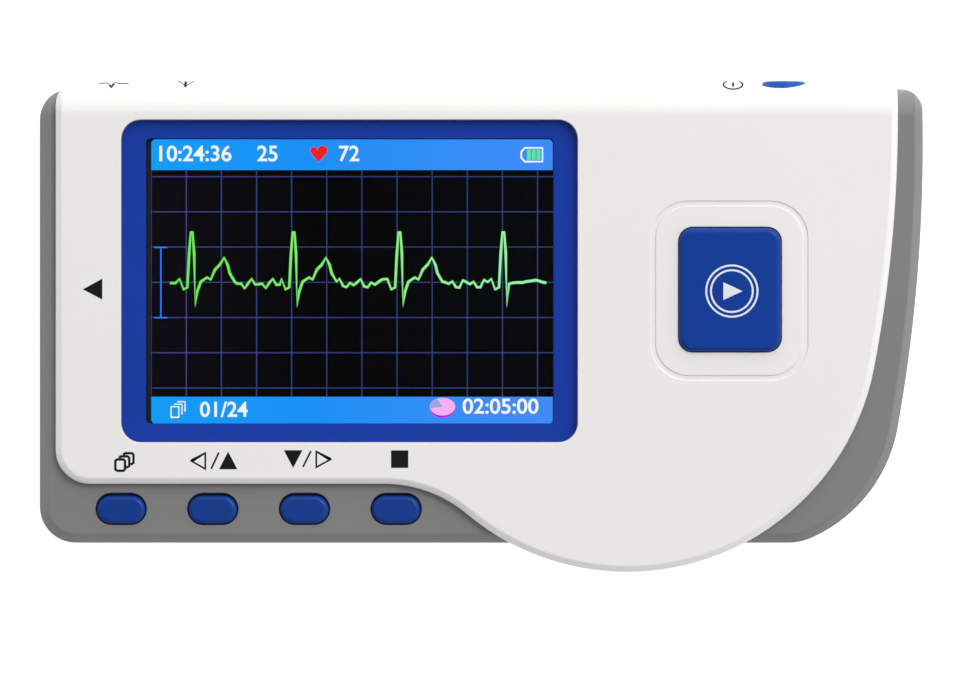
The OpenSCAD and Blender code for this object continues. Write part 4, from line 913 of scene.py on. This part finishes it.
def makeMarks(up):
    # flat marks just above the picture, each group with its light
    d = displaySizes
    gauge = [drawLine("gauge", points, d["gaugeLine"], up) for points in d["gauge"]]
    x, y = d["heart"]
    heart = drawPatch("display_heart", d["heart"], [
        (x + 1.15, y + 1.25), ((x + 0.6, y + 1.67), -37, 180, 10),
        ((x - 0.62, y + 1.67), 0, 217, 10)], up)
    white = [digits("digits", words, place, up, *form) for words, place, *form in d["digits"]]
    white.append(drawLine("battery", d["battery"], d["batteryLine"], up))
    white += [drawLine("sheet", points, width, up) for width, points in d["sheets"]]
    x, y = d["cell"]
    green = [roundSlab("cell", (x + d["cellStep"] * i, y), d["cellWide"], d["cellHigh"], 0.08,
                       up - 0.02, up + 0.02, 2) for i in range(3)]
    x, y = d["rimCentre"]
    rim = drawPatch("display_disc_rim", (x + d["rimReach"], y), [((x, y), 0, 360, 36)], up - 0.02)
    x, y = d["disc"]
    disc = drawPatch("display_disc", (x + d["discReach"], y), [((x, y), 0, 360, 36)], up)
    wedge = drawPatch("display_disc_used", d["disc"], d["wedge"], up + 0.02)
    for piece in (rim, disc, wedge):
        with editing(piece):
            bpy.ops.transform.resize(value=(1, d["discFlat"], 1), center_override=inMetres((x, y, 0)))
    return (
        (together("display_gauge", gauge), "gauge_blue", (0.02, 0.21, 0.95), (0.03, 0.25, 0.95)),
        (heart, "heart_red", (0.86, 0.008, 0.006), (0.8, 0.006, 0.01)),
        (together("display_marks", white), "mark_white", (0.9, 0.97, 1), (0.97, 0.97, 1)),
        (together("display_cells", green), "cell_green", (0.1, 0.8, 0.3), (0.12, 0.84, 0.34)),
        (rim, "disc_magenta", (0.42, 0.01, 0.75), (0.46, 0.01, 0.8)),
        (disc, "disc_pink", (1, 0.42, 0.93), (1, 0.46, 0.95)),
        (wedge, "disc_blue", (0.30, 0.38, 0.83), (0.32, 0.40, 0.85)),
    )


def makeDisplay():
    d = displaySizes
    low, high = d["low"], d["high"]
    centre = [(a + b) / 2 for a, b in zip(low, high)]
    picture = roundSlab("display_picture", centre, high[0] - low[0], high[1] - low[1], d["corner"],
                        d["level"] - d["thick"], d["level"], 5)
    green = litMark("trace_green", (0.13, 0.86, 0.06), (0.25, 0.92, 0.17), (0.34, 0.97, 0.46))
    pieces = [(picture, litPicture("display_glass")), (heartTrace(), green)]
    pieces += [(piece, litMark(*tones)) for piece, *tones in makeMarks(d["level"] + d["thick"])]
    for piece, material in pieces:
        fit(piece, "case", material, "display_glass")


makeDisplay()
print("display lit")


# printed signs on the white cover and on the start key

signSizes = {
    "level": 19.185, "keyLevel": 19.985, "thick": 0.035, "flat": 0.12,
    # signs filled with ink
    "solid": (((-56.28, 4.95), (-53.55, 3.5), (-53.55, 6.46)),
              ((-37.05, -20.46), (-34.48, -20.46), (-35.77, -17.97)),
              ((-27.9, -17.78), (-26.59, -20.28), (-25.28, -17.78)),
              ((-12.76, -20.27), (-10.33, -20.27), (-10.33, -17.8), (-12.76, -17.8))),
    # signs drawn with a line, each with its width
    "drawn": ((0.5, ((-40.95, -19.3), (-39.0, -18.18), (-39.0, -20.42), (-40.95, -19.3), (-40.4, -18.98))),
              (0.26, ((-38.18, -20.43), (-37.08, -18.1))),
              (0.26, ((-25.2, -20.15), (-24.08, -17.88))),
              (0.5, ((-21.32, -19.08), (-23.32, -17.98), (-23.32, -20.18), (-21.32, -19.08),
                    (-21.87, -18.78)))),
    "page": (-51.7, -20.68), "pageWide": 1.36, "pageHigh": 1.6, "pageCut": 0.22, "pageLine": 0.38,
    "pageStep": (0.6, 0.44),
    # signs on the rolled edge: across, and along the roll from its front
    "rollY": 29.35, "rollZ": 13.55, "roll": 5.65,
    "rolled": ((0.3, ((-54.1, 5.6), (-52.9, 5.75), (-52.31, 4.6), (-51.8, 5.95), (-51.3, 5.6),
                    (-49.9, 5.6))),
               (0.5, ((-52.55, 5.2), (-52.31, 4.65), (-52.05, 5.5))),
               (0.55, ((-41.85, 6.1), (-41.85, 4.75))),
               (0.34, ((-42.85, 6.3), (-41.85, 5.0), (-40.7, 6.2))),
               (0.46, ((35.6, 4.85), (35.6, 5.8)))),
    "ring": (35.6, 5.35), "ringReach": 1.36, "ringLine": 0.36, "ringFlat": 0.76,
    "keySign": (35.35, 4.69), "keyMark": ((-1.2, -1.25), (1.5, 0), (-1.2, 1.25)),
    "keyRings": (3.62, 2.95), "keyLine": 0.27,
}


def solidSign(points, level):
    return drawPatch("sign", points[0], points[1:], level, signSizes["thick"])


def flatLine(points, width, level, closed=False):
    # a printed line lies nearly flush, so the round line is pressed flat
    level = level + signSizes["thick"] / 2
    line = drawLine("sign", points, width, level, closed)
    with editing(line):
        bpy.ops.transform.resize(value=(1, 1, signSizes["flat"]), center_override=inMetres((0, 0, level)))
    return line


def rollLine(points, width):
    p = signSizes
    placed = []
    for across, along in points:
        turn = along / p["roll"]
        reach = p["roll"] - width * 0.25
        placed.append((across, p["rollY"] + reach * math.sin(turn), p["rollZ"] + reach * math.cos(turn)))
    return drawLine("sign", placed, width, 0)


def pageSign(level):
    # three sheets, one behind the other
    p = signSizes
    (left, low), cut, line = p["page"], p["pageCut"], p["pageLine"]
    right, top = left + p["pageWide"], low + p["pageHigh"]
    sheet = [(left + cut, low), (right - cut, low), (right, low + cut), (right, top - cut),
             (right - cut, top), (left + cut, top), (left, top - cut), (left, low + cut), (left + cut, low)]
    parts = [flatLine(sheet, line, level)]
    for count in (1, 2):
        x, y = (count * step for step in p["pageStep"])
        behind = [(left - 0.12, top - 0.2), (left + cut, top), (right - cut, top), (right, top - cut),
                  (right, low + cut), (right - 0.42, low)]
        parts.append(flatLine([(a + x, b + y) for a, b in behind], line, level))
    return parts


def printSigns(name, body, signs, ink):
    fit(together(name, signs), body, ink, None)


def makeSigns():
    p = signSizes
    up = p["level"]
    signs = [solidSign(points, up) for points in p["solid"]] + pageSign(up)
    signs += [flatLine(points, width, up) for width, points in p["drawn"]]
    signs += [rollLine(points, width) for width, points in p["rolled"]]
    ring = circlePoints(p["ring"], p["ringReach"], 50, -230, 26, p["ringFlat"])
    signs.append(rollLine(ring, p["ringLine"]))
    printSigns("printed_signs", "case", signs, blackInk)
    up = p["keyLevel"]
    x, y = p["keySign"]
    marks = [solidSign([(x + a, y + b) for a, b in p["keyMark"]], up)]
    for reach in p["keyRings"]:
        marks.append(flatLine(circlePoints((x, y), reach, 0, 360, 72), p["keyLine"], up, True))
    printSigns("start_key_sign", "start_key", marks, paleInk)


makeSigns()
print("signs printed")


# finishes of the pieces that stay as the frame has them

def boardFinish(name):
    # green board: copper tracks under the mask, run square to each other, with small tinned dots
    material = moulded(name, (0.02, 0.13, 0.06), (0.015, 0.1, 0.045), 0.3, 0.05, 0.05)
    tree = material.node_tree
    place = objectPlace(tree)
    tracks = addNode(tree, "TexBrick", {
        "Vector": place, "Scale": 260, "Mortar Size": 0.045, "Brick Width": 1.7, "Row Height": 0.32,
        "Color1": (0.018, 0.11, 0.05, 1), "Color2": (0.012, 0.085, 0.04, 1),
        "Mortar": (0.05, 0.24, 0.11, 1)})
    near = sums(tree, "LESS_THAN", spots(tree, place, 330), 0.16)
    setShader(tree, {"Base Color": blendIn(tree, near, tracks.outputs["Color"], (0.55, 0.55, 0.5, 1))})
    return material


def stripedFinish(name, ground, stripe, roughness, share):
    # flat ribbon: conductors show as fine lines along it, every half millimetre
    material = moulded(name, ground, ground, roughness, 0.04, 0.05)
    tree = material.node_tree
    folded = sums(tree, "PINGPONG", placeParts(tree)["Y"], 0.25 * mm)
    near = sums(tree, "LESS_THAN", folded, share * 0.25 * mm)
    setShader(tree, {"Base Color": ramp(tree, near, (0, ground), (1, stripe))})
    return material


def foamFinish(name):
    # closed foam: small round cells in the surface
    material = moulded(name, (0.02, 0.02, 0.021), (0.012, 0.012, 0.013), 0.85, 0.05, 0.6)
    tree = material.node_tree
    setShader(tree, {"Normal": bumps(tree, spots(tree, objectPlace(tree), 2600), 0.6, 0.05)})
    return material


def cellFinish(name, ends):
    # battery sleeve: bright ends, a green wrap and a pale band near the plus end
    material = moulded(name, (0.02, 0.16, 0.06), (0.018, 0.14, 0.05), 0.3, 0.04, 0.03)
    tree = material.node_tree
    along = spread(tree, placeParts(tree)["Y"], 0, 1, *ends)
    steel, wrap, band = (0.62, 0.62, 0.6), (0.015, 0.15, 0.055), (0.75, 0.72, 0.6)
    bright, dull = (1, 1, 1), (0, 0, 0)
    setShader(tree, {
        "Base Color": ramp(tree, along, (0, steel), (0.02, wrap), (0.74, band), (0.80, wrap),
                           (0.955, steel), (1, steel), stepped=True),
        "Metallic": ramp(tree, along, (0, bright), (0.02, dull), (0.955, bright), (1, bright),
                         stepped=True)})
    return material


def makeFinishes():
    # each finish with the nodes that wear it
    cell = [p.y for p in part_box("battery_1")]
    cream, creamShade = (0.66, 0.6, 0.42), (0.6, 0.54, 0.37)
    return (
        (greyShell, "battery_door"),
        (moulded("display_cell_glass", (0.012, 0.012, 0.015), (0.009, 0.009, 0.011), 0.12, 0.03, 0.0),
         "display_cell"),
        (worked("display_metal", (0.55, 0.55, 0.56), (0.42, 0.42, 0.43), 0.35, (8, 1, 1)), "display_frame"),
        (moulded("backlight_white", (0.8, 0.8, 0.78), (0.74, 0.74, 0.72), 0.4, 0.05, 0.1),
         "display_backlight"),
        (foamFinish("black_foam"), "display_gasket"),
        (stripedFinish("ribbon_film", (0.30, 0.11, 0.012), (0.42, 0.2, 0.04), 0.3, 0.5), "display_flex"),
        (stripedFinish("white_ribbon", (0.72, 0.72, 0.70), (0.5, 0.5, 0.5), 0.4, 0.4), "link_ribbon"),
        (moulded("connector_cream", cream, creamShade, 0.45, 0.05, 0.2), "display_connector"),
        (boardFinish("board_green"), "main_board", "key_board"),
        (moulded("chip_black", (0.02, 0.02, 0.022), (0.014, 0.014, 0.015), 0.5, 0.06, 0.4), "board_chips"),
        (worked("tin", (0.6, 0.6, 0.58), (0.46, 0.46, 0.45), 0.32, (1, 6, 1)),
         "shield_can", "clock_crystal", "contact_plates", "battery_springs"),
        (moulded("socket_black", (0.016, 0.016, 0.017), (0.01, 0.01, 0.011), 0.4, 0.05, 0.2),
         "buzzer", "lead_socket", "power_switch", "data_socket_core"),
        (moulded("plunger_white", (0.7, 0.7, 0.68), (0.62, 0.62, 0.6), 0.4, 0.05, 0.1), "power_plunger"),
        (worked("electrode_steel", (0.66, 0.66, 0.67), (0.5, 0.5, 0.52), 0.22, (1, 12, 1)),
         "data_socket", "left_electrode", "right_electrode", "back_electrode"),
        (cellFinish("battery_sleeve_up", cell), "battery_1"),
        (cellFinish("battery_sleeve_down", cell[::-1]), "battery_2"),
        (worked("screw_steel", (0.5, 0.5, 0.51), (0.36, 0.36, 0.37), 0.3, (1, 1, 5)), "case_screws"),
    )


def dress(node, *finishes):
    # a node with several slots takes the finishes in turn
    for place, holder in enumerate(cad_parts[node].material_slots):
        holder.link = "OBJECT"
        holder.material = finishes[place % len(finishes)]


for material, *nodes in makeFinishes():
    for node in nodes:
        dress(node, material)
wireRed = moulded("wire_red", (0.5, 0.02, 0.015), (0.42, 0.015, 0.012), 0.35, 0.05, 0.1)
wireBlack = moulded("wire_black", (0.02, 0.02, 0.021), (0.013, 0.013, 0.014), 0.35, 0.05, 0.1)
dress("electrode_wires", wireBlack)
dress("battery_wires", wireRed, wireBlack)
print("frame pieces finished")


# camera, light and floor, with places in metres where they lie outside the object

studio = {
    "distance": 1.4, "aim": (-0.2, -2.14, 18), "viewWide": 135.7, "sensor": 36, "farthest": 10,
    "paper": (0.93, 0.93, 0.92, 1), "paperGlow": 0.70, "paperWide": 3, "paperLevel": -0.05, "opening": -1.7,
    "sky": 1.06, "overhead": ((0.93, (1, 1, 1)), (0.975, (0.35, 0.35, 0.35))),
    "brightSide": (0.45, 0.75, 0.3), "sideTones": (0.1, 1.1), "sideSpan": (-0.8, 0.9),
    "lamps": (("key_light", (0.55, 0.5, 0.9), (0.5, 0.5), 4.5),
              ("top_light", (0, 0.9, 0.35), (0.8, 0.3), 0.9)),
    "lampAim": (0, 0, 0.01),
}


def softbox(name, place, size, power):
    letGo()
    bpy.ops.object.light_add(type="AREA", location=place)
    lamp = bpy.context.object
    lamp.name = name
    lamp.data.shape = "RECTANGLE"
    lamp.data.size, lamp.data.size_y = size
    lamp.data.energy = power
    away = mathutils.Vector(place) - mathutils.Vector(studio["lampAim"])
    lamp.rotation_euler = away.to_track_quat("Z", "Y").to_euler()


def layPaper():
    # the paper lies just under the case, open below it, so that the back shows from beneath
    s = studio
    floor = caseOutline("studio_floor", s["paperLevel"], s["opening"])
    bpy.ops.mesh.select_all(action="SELECT")
    bpy.ops.mesh.delete(type="ONLY_FACE")
    bpy.ops.mesh.primitive_plane_add(size=s["paperWide"], location=inMetres((0, 0, s["paperLevel"])))
    bpy.ops.mesh.delete(type="ONLY_FACE")
    bpy.ops.mesh.select_all(action="SELECT")
    bpy.ops.mesh.fill()
    bpy.ops.object.mode_set(mode="OBJECT")
    paper, tree = finish("studio_paper")
    setShader(tree, {"Base Color": s["paper"], "Roughness": 0.9, "Emission Color": (1, 1, 1, 1),
                     "Emission Strength": s["paperGlow"]})
    floor.data.materials.append(paper)


def lightAir():
    # the air is bright at the sides and dark overhead, where the camera hangs
    s = studio
    world = bpy.data.worlds.new("studio_air")
    bpy.context.scene.world = world
    world.use_nodes = True
    tree = world.node_tree
    around = addNode(tree, "TexCoord").outputs["Generated"]
    up = addNode(tree, "SeparateXYZ", {0: around}).outputs["Z"]
    lean = addNode(tree, "VectorMath", {0: around, 1: s["brightSide"]}, operation="DOT_PRODUCT")
    grey = addNode(tree, "Mix", {"Factor": 1, 6: ramp(tree, up, *s["overhead"]),
                                 7: spread(tree, lean.outputs["Value"], *s["sideTones"], *s["sideSpan"])},
                   data_type="RGBA", blend_type="MULTIPLY").outputs[2]
    setSockets(tree, tree.nodes["Background"], {"Color": grey, "Strength": s["sky"]})


def hangCamera():
    s = studio
    x, y, z = inMetres(s["aim"])
    letGo()
    bpy.ops.object.camera_add(location=(x, y, z + s["distance"]), rotation=(0, 0, 0))
    camera = bpy.context.object
    camera.name = "studio_camera"
    camera.data.sensor_width = s["sensor"]
    camera.data.lens = s["sensor"] * s["distance"] / (s["viewWide"] * mm)
    camera.data.clip_end = s["farthest"]
    bpy.context.scene.camera = camera
    bpy.context.scene.view_settings.view_transform = "Standard"


layPaper()
lightAir()
for lamp in studio["lamps"]:
    softbox(*lamp)
hangCamera()
print("studio lit")
